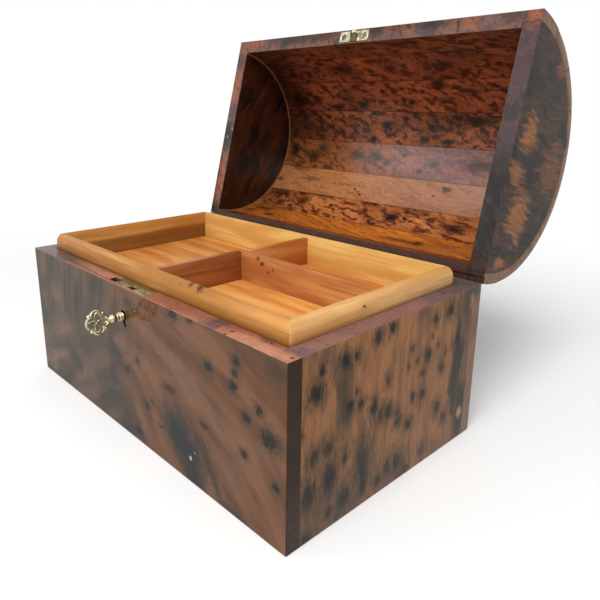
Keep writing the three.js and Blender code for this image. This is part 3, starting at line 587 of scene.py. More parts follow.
def paint_plain_burl(tree, place):
    """Burl where the photograph hardly shows it, and on the staves' ends: tan, with small eyes."""
    loose = wander(tree, place, 4, 30, 11.0)
    fine = figure(tree, loose, 30, 1.2, 0.25, 0.75, 12.0, 3.0)
    broad = figure(tree, loose, 100, 14, 0.3, 0.7, 13.0)
    smoke = figure(tree, loose, 70, 16, 0.55, 0.75, 14.0)
    spots = eyes(tree, wander(tree, place, 1.2, 5, 16.0), 16, 7, 0.4, 15.0)
    colour = stain(tree, "#80583c", (broad, "#62452f"), (smoke, "#2c332f"), (spots, "#101310"))
    return colour, fine, 0.78


def paint_rim(tree, place):
    """The boards' top edges: sanded salmon wood with mauve patches, greyer left and back, and a
    painted mauve reflection of the sky on the right end's rim.
    """
    where = add(tree, "ShaderNodeTexCoord").outputs["Object"]
    loose = wander(tree, place, 4, 20, 21.0)
    fine = figure(tree, loose, 20, 1.5, 0.3, 0.7, 22.0, 3.0)
    broad = figure(tree, loose, 30, 20, 0.4, 0.6, 23.0)
    mauve = figure(tree, loose, 22, 30, 0.5, 0.6, 24.0)
    marks = figure(tree, loose, 30, 4, 0.64, 0.72, 25.0, 2.0, 50)
    leftwards = towards(tree, where, 0, -30, -120, 0.85)
    # Painted reflection: the sky's mauve reflection on the right end's rim, away from its front
    # corner
    painted_reflection = add(tree, "ShaderNodeMath", MULTIPLY, {
        0: towards(tree, where, 0, 137.5, 138.5, 0.6),
        1: towards(tree, where, 1, -83, -80)})
    backwards = towards(tree, where, 1, 20, 90, 0.8)
    pale = knots(tree, where, RIM_PALE, 0.3, (6, 6))
    holes = knots(tree, where, RIM_HOLES, 0.2)
    colour = stain(tree, "#9a604c", (broad, "#ad7358"), (mauve, "#6b4f4f"), (painted_reflection, "#6c5458"),
                   (leftwards, "#4f4240"), (backwards, "#504e46"), (marks, "#2d1d19"),
                   (pale, "#bd8468"), (holes, "#0d0807"))
    return colour, fine, 0.78


def paint_end_grain(tree, place):
    """End grain of the front board: nearly black-brown, with fine pores."""
    fine = figure(tree, place, 1.5, 1.5, 0.3, 0.7, 31.0, 3.0)
    rings = figure(tree, place, 4, 30, 0.35, 0.65, 32.0)
    return stain(tree, "#362317", (rings, "#281a11")), fine, 0.75


# Woods of the lid. Stave 1 is the front rim's and stave 9 the hinges'.
STAVE_LOOKS = [
    # Light wood, dark wood, share of eyes, how long the figure is in mm, how dark the painted
    # shadow at the left end is, and the coat of varnish
    ("#9a5535", "#4a2617", 0.5, 10, 0.6, 0.4), ("#ac5a35", "#4c2214", 0.55, 9, 0.7, 0.4),
    ("#ac5c37", "#4e2212", 0.55, 10, 0.7, 0.4), ("#ab5f37", "#46261a", 0.55, 9, 0.7, 0.3),
    ("#ab6132", "#5a331b", 0.4, 14, 0.3, 1.0), ("#bf7d48", "#a76b3f", 0.03, 70, 0.1, 1.0),
    ("#d07d42", "#5c2615", 0.5, 16, 0.35, 0.5), ("#d27829", "#9c5218", 0.05, 90, 0.2, 0.35),
    ("#904b26", "#542714", 0.2, 50, 0.3, 0.4)]
# How strongly a painted mauve reflection of the sky tints staves 5 and 6 towards the right
STAVE_PAINTED_REFLECTION = {5: 0.55, 6: 0.3}


def paint_stave(number):
    """Burl of one stave's inner face: dark eyes in red-brown wood, each cut from another place."""
    light, dark, share, straight, shadow = STAVE_LOOKS[number - 1][:5]

    def paint(tree, place):
        loose = wander(tree, place, 2.2, 12, 3.1 * number)
        fine = figure(tree, loose, 20, 1.1, 0.25, 0.75, number, 3.0)
        strokes = figure(tree, loose, 6, 1.2, 0.38, 0.62, 20.0 + number, 2.0, -30)
        grain = add(tree, "ShaderNodeMix", {}, {0: min(1.0, 1.4 * share), 2: fine, 3: strokes})
        broad = figure(tree, loose, straight, 4.5, 0.45, 0.62, 40.0 + number, 3.0, -20)
        patches = figure(tree, place, 50, 30, 0.35, 0.65, 45.0 + number)
        patchy = add(tree, "ShaderNodeMath", MULTIPLY, {0: patches, 1: 0.5})
        ragged = wander(tree, place, 1.2, 3.5, 2.0 + number)
        halo = eyes(tree, ragged, 6.5, 5.5, share, 50.0 + number)
        soft_halo = add(tree, "ShaderNodeMath", MULTIPLY, {0: halo, 1: 0.75})
        spots = eyes(tree, ragged, 6.5, 2.8, share, 50.0 + number, 0.4)
        marks = [(along, math.radians(angle) * GRAIN_RADIUS, *rest)
                 for along, angle, *rest in STAVE_MARKS.get(number, [])]
        stained = knots(tree, ragged, grown(marks, 1.5, 0.6), 0.4, (6, 3), 9.0)
        shown = knots(tree, ragged, marks, 0.4, (6, 2), 10.0)
        lower, upper = (math.radians(joint_angle(i)) * GRAIN_RADIUS for i in (number - 1, number))
        joint = add(tree, "ShaderNodeMath", MAXIMUM, {
            0: towards(tree, place, 1, lower + 0.6, lower + 0.2, 0.6),
            1: towards(tree, place, 1, upper - 0.6, upper - 0.2, 0.6)})
        # Painted shadow darkens the staves' left ends
        leftwards = towards(tree, place, 0, -60, -130, shadow)
        # Painted reflection: the sky's mauve reflection, laid into the colour towards the right of
        # staves 5 and 6
        painted_reflection = towards(tree, place, 0, -50, 50, STAVE_PAINTED_REFLECTION.get(number, 0.0))
        colour = stain(tree, light, (broad, dark), (patchy, dark), (leftwards, "#2a110a"),
                       (painted_reflection, "#82646a"), (soft_halo, dark), (stained, dark),
                       (spots, "#120906"), (shown, "#140b09"), (joint, "#150b08"))
        return colour, grain, 0.55
    return paint


def paint_lid_outside(tree, place):
    """The lid's outside: grey-green smoke over tan burl, with orange-brown patches between."""
    loose = wander(tree, place, 4, 30, 61.0)
    fine = figure(tree, loose, 30, 1.1, 0.25, 0.75, 62.0, 3.0)
    smoke = figure(tree, loose, 60, 20, 0.3, 0.5, 63.0, 3.0)
    broad = figure(tree, loose, 80, 6, 0.35, 0.65, 67.0)
    spots = eyes(tree, wander(tree, place, 1.2, 4, 66.0), 12, 6, 0.45, 65.0)
    colour = stain(tree, "#8a5936", (broad, "#684630"), (smoke, "#282b25"), (spots, "#0b0d0b"))
    return colour, fine, 0.72


# The radius in metres where the line of glue begins to show in the lid's ends, and where it is full
GLUE_FROM, GLUE_TO = 77.2 * MM, 77.8 * MM


def paint_lid_end_inside(tree, place):
    """The ends' inner faces: nearly black-brown with red streaks, and pale glue at the cove."""
    centred = add(tree, "ShaderNodeVectorMath", SUBTRACT, {0: place, 1: (ARC_CENTRE, 0, 0)})
    flat = add(tree, "ShaderNodeVectorMath", MULTIPLY, {0: centred, 1: (1, 1, 0)})
    reach = add(tree, "ShaderNodeVectorMath", LENGTH, {0: flat}).outputs["Value"]
    glue = add(tree, "ShaderNodeMapRange", SMOOTH, {
        "Value": reach, "From Min": GLUE_FROM, "From Max": GLUE_TO, "To Max": 0.85})
    loose = wander(tree, place, 6, 30, 71.0)
    fine = figure(tree, loose, 20, 1.3, 0.25, 0.75, 72.0, 3.0, 70)
    dark = figure(tree, loose, 30, 15, 0.45, 0.65, 74.0, 2.0, 70)
    streaks = figure(tree, loose, 50, 8, 0.5, 0.75, 73.0, 3.0, 70)
    colour = stain(tree, "#3a1a0d", (dark, "#140906"), (streaks, "#5c2c12"), (glue, "#a5714c"))
    return colour, fine, 0.66


def paint_lid_end_outside(tree, place):
    """The ends' outer faces: smoky brown with upright fibres and glowing tan patches low down."""
    loose = wander(tree, place, 4, 30, 61.0)
    fine = figure(tree, loose, 30, 1.4, 0.25, 0.75, 62.0, 3.0)
    smoke = figure(tree, loose, 30, 14, 0.35, 0.6, 63.0, 3.0)
    light = knots(tree, loose, LID_END_LIGHT, 0.5, (20, 3), 64.0)
    mauve = towards(tree, place, 1, -40, -70, 0.6)
    brown = towards(tree, place, 1, 70, 84, 0.6)
    spots = eyes(tree, wander(tree, place, 1.2, 4, 66.0), 12, 5, 0.3, 65.0)
    colour = stain(tree, "#4b3122", (smoke, "#1e1d16"), (mauve, "#362a2c"), (brown, "#4a3029"),
                   (light, "#996034"), (spots, "#0d0f0c"))
    return colour, fine, 0.66


def paint_lid_rim(tree, place):
    """The lid's rim: soft mauve and red-brown, grey-green low on the right, dark at the hinges."""
    where = add(tree, "ShaderNodeTexCoord").outputs["Object"]
    loose = wander(tree, place, 5, 20, 81.0)
    fine = figure(tree, loose, 10, 1.5, 0.3, 0.7, 82.0, 3.0)
    salmon = figure(tree, loose, 20, 20, 0.4, 0.7, 83.0)
    grey = figure(tree, loose, 20, 20, 0.42, 0.68, 84.0)
    aside = towards(tree, where, 0, 136.5, 138.5, 0.75)
    green = add(tree, "ShaderNodeMath", MULTIPLY, {
        0: towards(tree, where, 2, 200, 175, 0.85),
        1: towards(tree, where, 0, 136.5, 138.5)})
    hinged = towards(tree, where, 2, 132, 120, 0.85)
    # The open rim stands nearly upright, so it is drawn on from the front, in X and Z
    on_front = add(tree, "ShaderNodeMapping", {}, {
        "Vector": where, "Rotation": (-math.pi / 2, 0, 0)})
    ragged = wander(tree, on_front, 2, 6, 85.0)
    bright = knots(tree, ragged, LID_RIM_BRIGHT, 0.4, (4, 4), 86.0)
    smoke = knots(tree, ragged, LID_RIM_SMOKE, 0.4, (4, 4), 87.0)
    chip = knots(tree, ragged, LID_RIM_CHIPS, 0.3)
    broken = figure(tree, on_front, 4, 9, 0.5, 0.7, 88.0, 3.0, -30)
    colour = stain(tree, "#70524a", (salmon, "#875640"), (grey, "#554346"), (aside, "#43363a"),
                   (bright, "#a05a3a"), (green, "#1c1d18"), (smoke, "#272b25"),
                   (hinged, "#3a2018"), (broken, "#3e3634"), (chip, "#8f9186"))
    return colour, fine, 0.72


# Woods of the tray: light wood, dark wood, seed, how long the growth lines are in mm, knots,
# whether painted shade darkens its foot where it meets the box's rim, and its coat of wax with
# that coat's roughness
# The right and back walls are painted lighter, and the front wall and front partition darker, than
# their woods: painted light and shade
TRAY_WOODS = {
    "lemonwood": ("#d49e58", "#b87c3a", 91.0, 120, (), True, 0.2, 0.25),
    "lemonwood, right wall, painted light": ("#e2b478", "#ca9456", 92.0, 120, RIGHT_WALL_KNOTS, True, 0.2, 0.25),
    "lemonwood, front wall, painted shade": ("#c98f4d", "#a16b31", 95.0, 120, FRONT_WALL_KNOTS, True, 0.15, 0.25),
    "lemonwood, back wall, painted light": ("#edc070", "#d59f52", 93.0, 120, (), False, 0.3, 0.25),
    "cedar, long partition": ("#d19454", "#b26a3a", 101.0, 120, PARTITION_KNOTS, False, 0.3, 0.3),
    "cedar, front partition, painted shadow": ("#a86838", "#884b24", 103.0, 120, (), False, 0.3, 0.3),
    "cedar, rear partition": ("#d29250", "#b46732", 105.0, 120, (), False, 0.3, 0.3),
    "cedar floor": ("#e5a556", "#c57634", 111.0, 200, (), False, 0.3, 0.3)}


def paint_tray(light, dark, seed, straight, marks, shade_at_rim):
    """Pale straight-grained wood with darker growth lines and its knots, with painted shade at its
    foot where it meets the box's rim.
    """
    def paint(tree, place):
        loose = wander(tree, place, 1.5, 50, seed)
        fine = figure(tree, loose, 60, 0.9, 0.25, 0.75, seed + 1, 3.0)
        lines = figure(tree, loose, straight, 3.5, 0.45, 0.7, seed + 2)
        broad = figure(tree, loose, 100, 12, 0.35, 0.65, seed + 3)
        layers = [(broad, dark), (lines, dark)]
        # Painted shade at the foot, where the tray stands in the box's rim
        if shade_at_rim:
            rim = BOX_TOP / MM
            layers.append((towards(tree, place, 1, rim + 3.5, rim - 0.5, 0.65), "#5f3410"))
        if marks:
            ragged = wander(tree, place, 0.8, 3, seed + 4)
            layers.append((knots(tree, ragged, grown(marks, 2.2, 0.55)), dark))
            layers.append((knots(tree, ragged, marks), "#3a1c10"))
        return stain(tree, light, *layers), fine, 0.86
    return paint


# Metals

def metal(name, colour, smooth, worn, tarnish, seed):
    """A metal's material: smooth and worn are its roughness, and tarnish is its darker colour."""
    material = bpy.data.materials.new(name)
    tree = empty_tree(material)
    place = add(tree, "ShaderNodeTexCoord").outputs["Object"]
    smudge = figure(tree, place, 4, 4, 0.35, 0.7, seed)
    grit = figure(tree, place, 0.8, 0.8, 0.3, 0.7, seed + 1, 3.0)
    tint = add(tree, "ShaderNodeMix", COLOURS, {0: smudge, 6: [*colour, 1], 7: linear(tarnish)})
    rough = add(tree, "ShaderNodeMapRange", {}, {"Value": smudge, "To Min": smooth, "To Max": worn})
    relief = add(tree, "ShaderNodeBump", {}, {
        "Strength": 0.3, "Distance": 0.05 * MM, "Height": grit})
    shader = add(tree, "ShaderNodeBsdfPrincipled", {}, {
        "Base Color": tint.outputs[2], "Metallic": 1.0, "Roughness": rough,
        "Normal": relief})
    add(tree, "ShaderNodeOutputMaterial", {}, {"Surface": shader})


class JEWELRYBOX_OT_finishes(Operator):
    """Makes the woods, the brass and the steel"""
    bl_idname = "jewelrybox.finishes"
    bl_label = "Make the finishes"

    def execute(self, context):
        woods = context.scene.jewelry_box_woods
        metals = context.scene.jewelry_box_metals
        gloss = woods.varnish
        # Varnished thuya burl, rubbed smooth: a hard clear gloss over a mottled brown wood
        wood("varnished burl, front", paint_front, 0.5, gloss, under=0.0)
        wood("varnished burl, right end", paint_right_end, 0.12, gloss)
        wood("varnished burl", paint_plain_burl, 0.3, gloss)
        # Sanded edges with less varnish on them
        wood("sanded burl rim", paint_rim, 0.4, 0.3)
        wood("burl end grain", paint_end_grain, 0.06, 0.2)
        # The same burl inside and outside the lid, where the varnish is thinner and duller
        for number in range(1, STAVES + 1):
            wood(f"varnished burl, stave {number}", paint_stave(number), STAVE_LOOKS[number - 1][5],
                 woods.lid_varnish)
        wood("varnished burl, lid outside", paint_lid_outside, 0.3, 0.12)
        wood("varnished burl, lid end outside", paint_lid_end_outside, 0.06, 0.15)
        wood("varnished burl, lid end inside", paint_lid_end_inside, 0.3, 0.25)
        wood("burl lid rim", paint_lid_rim, 0.2, 0.25)
        # Lemonwood and cedar of the tray, waxed to a satin sheen
        for name, (*paint, coat, coat_roughness) in TRAY_WOODS.items():
            wood(name, paint_tray(*paint), coat, coat_roughness)
        # Cast and filed brass, pale and a little tarnished, and zinc-plated steel screws
        metal("cast brass", metals.brass, 0.2, 0.38, "#958b62", 121.0)
        metal("aged brass", linear("#b9ad84")[:3], 0.35, 0.5, "#75694a", 131.0)
        metal("dark brass", linear("#6a6042")[:3], 0.4, 0.55, "#2f2a1c", 136.0)
        metal("zinc-plated steel", metals.steel, 0.3, 0.45, "#5f6669", 141.0)
        return {"FINISHED"}


class JEWELRYBOX_OT_boards(Operator):
    """Dresses the box's boards, bottom and ledges"""
    bl_idname = "jewelrybox.boards"
    bl_label = "Dress the box"

    def execute(self, context):
        woods = context.scene.jewelry_box_woods

        def edge_width(middle, length):
            at_back, at_top = middle.y > HALF_WIDTH - ON_PLANE, middle.z > BOX_TOP - ON_PLANE
            # The lid turns on the back top edge, so that edge is hardly rounded
            if at_back and at_top:
                return woods.joint
            outer = (abs(middle.x) > HALF_LENGTH - ON_PLANE, abs(middle.y) > HALF_WIDTH - ON_PLANE,
                     at_top, middle.z < ON_PLANE)
            if sum(outer) >= 2:
                return woods.arris
            return woods.joint if length > 5 * MM else 0

        def choose(face):
            """Chooses between the outer face, the rim, the end grain and the rest of a board."""
            def pick(centre, normal):
                if normal.z > FACING and centre.z > BOX_TOP - 2 * MM:
                    return 1
                if normal.dot(face) > FACING:
                    return 0
                return 2 if abs(normal.x) > FACING and face.y else 3
            return pick

        boards = (("front_board", lengthwise, (0, -1, 0), "varnished burl, front"),
                  ("back_board", lengthwise, (0, 1, 0), "varnished burl"),
                  ("left_end_board", upright, (-1, 0, 0), "varnished burl"),
                  ("right_end_board", upright, (1, 0, 0), "varnished burl, right end"),
                  ("bottom_panel", lengthwise, (0, 0, -1), "varnished burl"))
        for node, grain, face, look in boards:
            ends = "varnished burl" if node == "back_board" else "burl end grain"
            dress(node, "varnished", "box", "box_burl", edge_width, grain,
                  (look, "sanded burl rim", ends, "varnished burl"), choose(Vector(face)))
        for node in ("tray_ledge_left", "tray_ledge_right"):
            dress(node, "planed", "box", "tray_wall_wood", lambda middle, length: 0.5 * MM,
                  sideways, ["lemonwood"])
        return {"FINISHED"}


def stave_tree():
    """Geometry Nodes that bend a block into a stave of the dome, thinner at its two ends."""
    sizes = ("Start angle", "End angle", "Radius", "Thickness", "End thickness", "Half length",
             "Shoulder", "Centre height")
    tree, given = start_group("coopered stave", "GeometryNodeTree",
                              {**dict.fromkeys(sizes, "Float"), "Wood": "Material"},
                              "Geometry", "Geometry")
    # Of the block's six rows of points in X, the outer two make the ends, and the others the foot
    # and the top of the shoulders
    block = add(tree, "GeometryNodeMeshCube", {}, {
        "Size": (1, 1, 1), "Vertices X": 6, "Vertices Y": 9})
    position = add(tree, "GeometryNodeInputPosition")
    place = add(tree, "ShaderNodeSeparateXYZ", {}, {0: position}).outputs
    out = add(tree, "ShaderNodeMath", {"operation": "ABSOLUTE"}, {0: place[0]})
    side = add(tree, "ShaderNodeMath", {"operation": "SIGN"}, {0: place[0]})
    at_end, thin = (add(tree, "ShaderNodeMath", {"operation": "GREATER_THAN"},
                        {0: out, 1: limit}) for limit in (0.4, 0.2))
    reach = add(tree, "ShaderNodeMix", {}, {
        0: at_end, 2: given["Shoulder"], 3: given["Half length"]})
    along = add(tree, "ShaderNodeMath", MULTIPLY, {0: side, 1: reach})
    thickness = add(tree, "ShaderNodeMix", {}, {
        0: thin, 2: given["Thickness"], 3: given["End thickness"]})
    share = add(tree, "ShaderNodeMath", ADD, {0: place[1], 1: 0.5})
    angle = add(tree, "ShaderNodeMix", {}, {
        0: share, 2: given["Start angle"], 3: given["End angle"]})
    inward = add(tree, "ShaderNodeMath", SUBTRACT, {0: 0.5, 1: place[2]})
    depth = add(tree, "ShaderNodeMath", MULTIPLY, {0: inward, 1: thickness})
    radius = add(tree, "ShaderNodeMath", SUBTRACT, {0: given["Radius"], 1: depth})
    turn = add(tree, "ShaderNodeMath", {"operation": "RADIANS"}, {0: angle})
    cosine, sine = (add(tree, "ShaderNodeMath", {"operation": name}, {0: turn})
                    for name in ("COSINE", "SINE"))
    level = add(tree, "ShaderNodeMath", MULTIPLY, {0: radius, 1: cosine})
    forward = add(tree, "ShaderNodeMath", MULTIPLY, {0: level, 1: -1.0})
    height = add(tree, "ShaderNodeMath", MULTIPLY_ADD,
                 {0: radius, 1: sine, 2: given["Centre height"]})
    target = add(tree, "ShaderNodeCombineXYZ", {}, {0: along, 1: forward, 2: height})
    bent = add(tree, "GeometryNodeSetPosition", {}, {
        "Geometry": block.outputs["Mesh"], "Position": target})
    merged = add(tree, "GeometryNodeMergeByDistance", {}, {"Geometry": bent, "Distance": ONE_POINT})
    finish_group(tree, merged, given["Wood"])
    return tree


def finish_group(tree, made, material):
    """Ends a Geometry Nodes tree: real geometry, with its material on it."""
    real = add(tree, "GeometryNodeRealizeInstances", {}, {"Geometry": made})
    dressed = add(tree, "GeometryNodeSetMaterial", {}, {"Geometry": real, "Material": material})
    add(tree, "NodeGroupOutput", {}, {0: dressed})


def run_tree(tree, mesh, values):
    """Runs a Geometry Nodes tree once on a mesh and returns the plain mesh that it makes."""
    carrier = new_object("carrier", mesh)
    modifier = carrier.modifiers.new("nodes", "NODES")
    modifier.node_group = tree
    for item in tree.interface.items_tree:
        if item.in_out == "INPUT" and item.name in values:
            modifier[item.identifier] = values[item.name]
    graph = bpy.context.evaluated_depsgraph_get()
    made = bpy.data.meshes.new_from_object(carrier.evaluated_get(graph), depsgraph=graph)
    carrier.modifiers.remove(modifier)
    bpy.data.objects.remove(carrier)
    return made


def joint_angle(number):
    """The angle of the joint after a stave, in degrees from the front rim."""
    return FIRST_JOINT + (number - 1) * STAVE_ANGLE


def polar(point):
    """A point of the shut lid as its angle in degrees from the front rim and its radius."""
    height = point.z - ARC_CENTRE
    return math.degrees(math.atan2(height, -point.y)), math.hypot(point.y, height)


def close_joints(shape, number):
    """Moves a rim stave's joint face to the joint, so that the glued staves meet."""
    angle = joint_angle(number if number == 1 else number - 1)
    turned = math.radians(angle)
    for vertex in shape.verts:
        here, radius = polar(vertex.co)
        if abs(here - angle) < JOINT_REACH:
            vertex.co.y = -radius * math.cos(turned)
            vertex.co.z = ARC_CENTRE + radius * math.sin(turned)


# How much the lid's edges are rounded: outside, at the coves over the end boards, along the long
# joints, and on the end boards
OUTER_EDGE, COVE_EDGE, JOINT_EDGE, BOARD_EDGE = 0.6 * MM, 0.5 * MM, 0.12 * MM, 0.25 * MM
# How far the staves stay inside the CAD's, outside and at their shoulders
INSIDE_ARC, INSIDE_SHOULDER = 0.03 * MM, 0.15 * MM


class JEWELRYBOX_OT_lid(Operator):
    """Makes the dome's nine staves and dresses its two half-moon ends"""
    bl_idname = "jewelrybox.lid"
    bl_label = "Make the lid"

    def execute(self, context):
        tree = stave_tree()

        def edge_width(middle, length):
            """Rounds the ends, the front edge and the coves, and the joints by a hair."""
            radius = polar(middle)[1]
            if abs(middle.x) > HALF_LENGTH - ON_PLANE:
                return OUTER_EDGE
            if abs(abs(middle.x) - INNER_X) < 0.5 * MM and radius < DOME_RADIUS - 10 * MM:
                return COVE_EDGE
            if middle.z < LID_RIM + ON_PLANE and middle.y < -HALF_WIDTH + ON_PLANE:
                return OUTER_EDGE
            return JOINT_EDGE if length > 100 * MM else 0

        def choose(centre, normal):
            """Chooses between a stave's inner face, its outside, its rim and its ends."""
            if normal.z < -FACING and centre.z < LID_RIM + 2 * MM:
                return 2
            if abs(normal.x) > 0.5:
                return 3 if abs(centre.x) > HALF_LENGTH - 1 * MM else 1
            return 1 if polar(centre)[1] > DOME_RADIUS - 2 * MM else 0

        def grain(point):
            angle, radius = polar(point)
            return point.x, math.radians(angle) * GRAIN_RADIUS * MM, radius

        for number in range(1, STAVES + 1):
            inner = f"varnished burl, stave {number}"
            if number in (1, STAVES):
                # The rim's two staves have flat feet, so they are the CAD's own shapes
                shape = copy_shape(f"lid_stave_{number}")
                shape.transform(LID_SHUT)
                close_joints(shape, number)
            else:
                shape = bmesh.new()
                shape.from_mesh(run_tree(tree, bpy.data.meshes.new("block"), {
                    "Start angle": joint_angle(number - 1), "End angle": joint_angle(number),
                    "Radius": DOME_RADIUS - INSIDE_ARC, "Thickness": STAVE,
                    "End thickness": STAVE_AT_END, "Half length": HALF_LENGTH,
                    "Shoulder": INNER_X - INSIDE_SHOULDER, "Centre height": ARC_CENTRE,
                    "Wood": bpy.data.materials[inner]}))
            round_edges(shape, edge_width)
            looks = (inner, "varnished burl, lid outside", "burl lid rim", "varnished burl")
            mesh = into_mesh(shape, f"stave_{number}", grain, looks, choose)
            mesh.transform(LID_OPEN)
            stand_in(mesh, f"stave_{number}_varnished", "lid", "lid_burl", f"lid_stave_{number}")

        for node, outward in (("lid_end_left", -1), ("lid_end_right", 1)):
            def choose_end(centre, normal):
                return 2 if normal.z < -FACING else 1 if normal.x * outward > FACING else 0
            shape = copy_shape(node)
            shape.transform(LID_SHUT)
            round_edges(shape, lambda middle, length: BOARD_EDGE)
            looks = ("varnished burl, lid end inside", "varnished burl, lid end outside",
                     "burl lid rim")
            mesh = into_mesh(shape, node, upright, looks, choose_end)
            mesh.transform(LID_OPEN)
            stand_in(mesh, f"{node}_varnished", "lid", "lid_burl", node)
        return {"FINISHED"}


class JEWELRYBOX_OT_tray(Operator):
    """Dresses the tray's walls, floor and partitions"""
    bl_idname = "jewelrybox.tray"
    bl_label = "Dress the tray"

    def execute(self, context):
        # The right and back walls carry painted light, and the front wall and front partition
        # painted shade, in their woods' colours
        pieces = (("tray_wall_front", lengthwise, "lemonwood, front wall, painted shade", "tray_wall_wood"),
                  ("tray_wall_back", lengthwise, "lemonwood, back wall, painted light", "tray_wall_wood"),
                  ("tray_wall_left", sideways, "lemonwood", "tray_wall_wood"),
                  ("tray_wall_right", sideways, "lemonwood, right wall, painted light", "tray_wall_wood"),
                  ("tray_floor", tuple, "cedar floor", "tray_inner_wood"),
                  ("tray_cross_front", sideways, "cedar, front partition, painted shadow", "tray_inner_wood"),
                  ("tray_cross_rear", sideways, "cedar, rear partition", "tray_inner_wood"),
                  ("tray_long_partition", lengthwise, "cedar, long partition", "tray_inner_wood"))
        # Sanded, so every edge but the shortest is a little soft
        for node, grain, look, slot in pieces:
            dress(node, "waxed", "tray", slot,
                  lambda middle, length: 0.35 * MM if length > 4 * MM else 0, grain, [look])
        return {"FINISHED"}


class JEWELRYBOX_OT_lock(Operator):
    """Dresses the lock, the hook plate and the hinges"""
    bl_idname = "jewelrybox.lock"
    bl_label = "Dress the lock and hinges"

    def execute(self, context):
        for node in ("lock_case", "bolt_spring", "lock_bolt", "hinge_pin_left", "hinge_pin_right"):
            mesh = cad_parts[node].data
            mesh.materials.clear()
            mesh.materials.append(bpy.data.materials["aged brass"])
        pieces = [("lock_plate", "box", "aged brass"), ("hook_plate", "lid", "cast brass")]
        for leaf, body in (("base", "box"), ("lid", "lid")):
            for side in ("left", "right"):
                pieces.append((f"hinge_{leaf}_leaf_{side}", body, "aged brass"))
        # Cuts on both sides of the middle let the hook and the plate behind it be darker
        half_hook = 4 * MM
        for node, body, look in pieces:
            shape = copy_shape(node)
            round_edges(shape, lambda middle, length: 0.12 * MM if length > 1.2 * MM else 0)
            middle = sum(corner[0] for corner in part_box(node)) / 2
            for offset in (-half_hook, half_hook):
                bmesh.ops.bisect_plane(shape, geom=[*shape.verts, *shape.edges, *shape.faces],
                                       plane_co=(middle + offset, 0, 0), plane_no=(1, 0, 0))

            def choose(centre, normal):
                return node == "hook_plate" and abs(centre.x - middle) < half_hook
            mesh = into_mesh(shape, node, tuple, (look, "dark brass"), choose)
            stand_in(mesh, f"{node}_filed", body, "brass", node)
        return {"FINISHED"}


# The petals in the key's bow, in mm: where they meet, an oval's half length and half width, how
# far out its middle lies, and its wire's radius, with the steps and sides that draw the wire
BOW_CENTRE = Vector((-5.5, -108.2, 88))
PETAL_LONG, PETAL_WIDE = 3.25, 1.55
PETAL_OUT = 3.35
WIRE = 0.42
WIRE_STEPS, WIRE_SIDES = 24, 6


class JEWELRYBOX_OT_key(Operator):
    """Makes the key in its keyhole, with four cast petals inside the clover of its bow"""
    bl_idname = "jewelrybox.key"
    bl_label = "Make the key"

    def add_petals(self, shape):
        """Adds the petals: oval wires that meet in the middle of the bow and touch its ring."""
        for petal in range(4):
            turn = Matrix.Rotation(petal * math.pi / 2, 4, "X")
            rings = []
            for step in range(WIRE_STEPS):
                angle = 2 * math.pi * step / WIRE_STEPS
                cosine, sine = math.cos(angle), math.sin(angle)
                middle = Vector((0, PETAL_OUT + PETAL_LONG * cosine, PETAL_WIDE * sine))
                outward = Vector((0, PETAL_WIDE * cosine, PETAL_LONG * sine)).normalized()
                ring = []
                for i in range(WIRE_SIDES):
                    side = 2 * math.pi * i / WIRE_SIDES
                    out = outward * math.cos(side) + Vector((math.sin(side), 0, 0))
                    corner = turn @ (middle + WIRE * out)
                    ring.append(shape.verts.new(BOW_CENTRE * MM + corner * MM))
                rings.append(ring)
            for near, far in zip(rings, rings[1:] + rings[:1]):
                for i in range(WIRE_SIDES):
                    after = i + 1 - WIRE_SIDES
                    shape.faces.new((near[i], far[i], far[after], near[after]))
        bmesh.ops.recalc_face_normals(shape, faces=shape.faces)

    def execute(self, context):
        shape = copy_shape("key")
        # Only the short edges of the bow, in front of its shank, are rounded
        round_edges(shape, lambda middle, length:
                    0.2 * MM if middle.y < -99 * MM and length < 2 * MM else 0)
        self.add_petals(shape)
        stand_in(into_mesh(shape, "key", tuple, ["cast brass"]), "key_cast", "key", "brass", "key")
        return {"FINISHED"}


# How much smaller than the CAD's a screw's head radius, shank radius and length are, in mm
SCREW_LESS = (0.1, 0.2, 0.3)
THREAD_PITCH = 0.9 * MM
# The slot's cutter: longer than any head, the slot's width, and twice its depth
SLOT = (10 * MM, 0.5 * MM, 1 * MM)


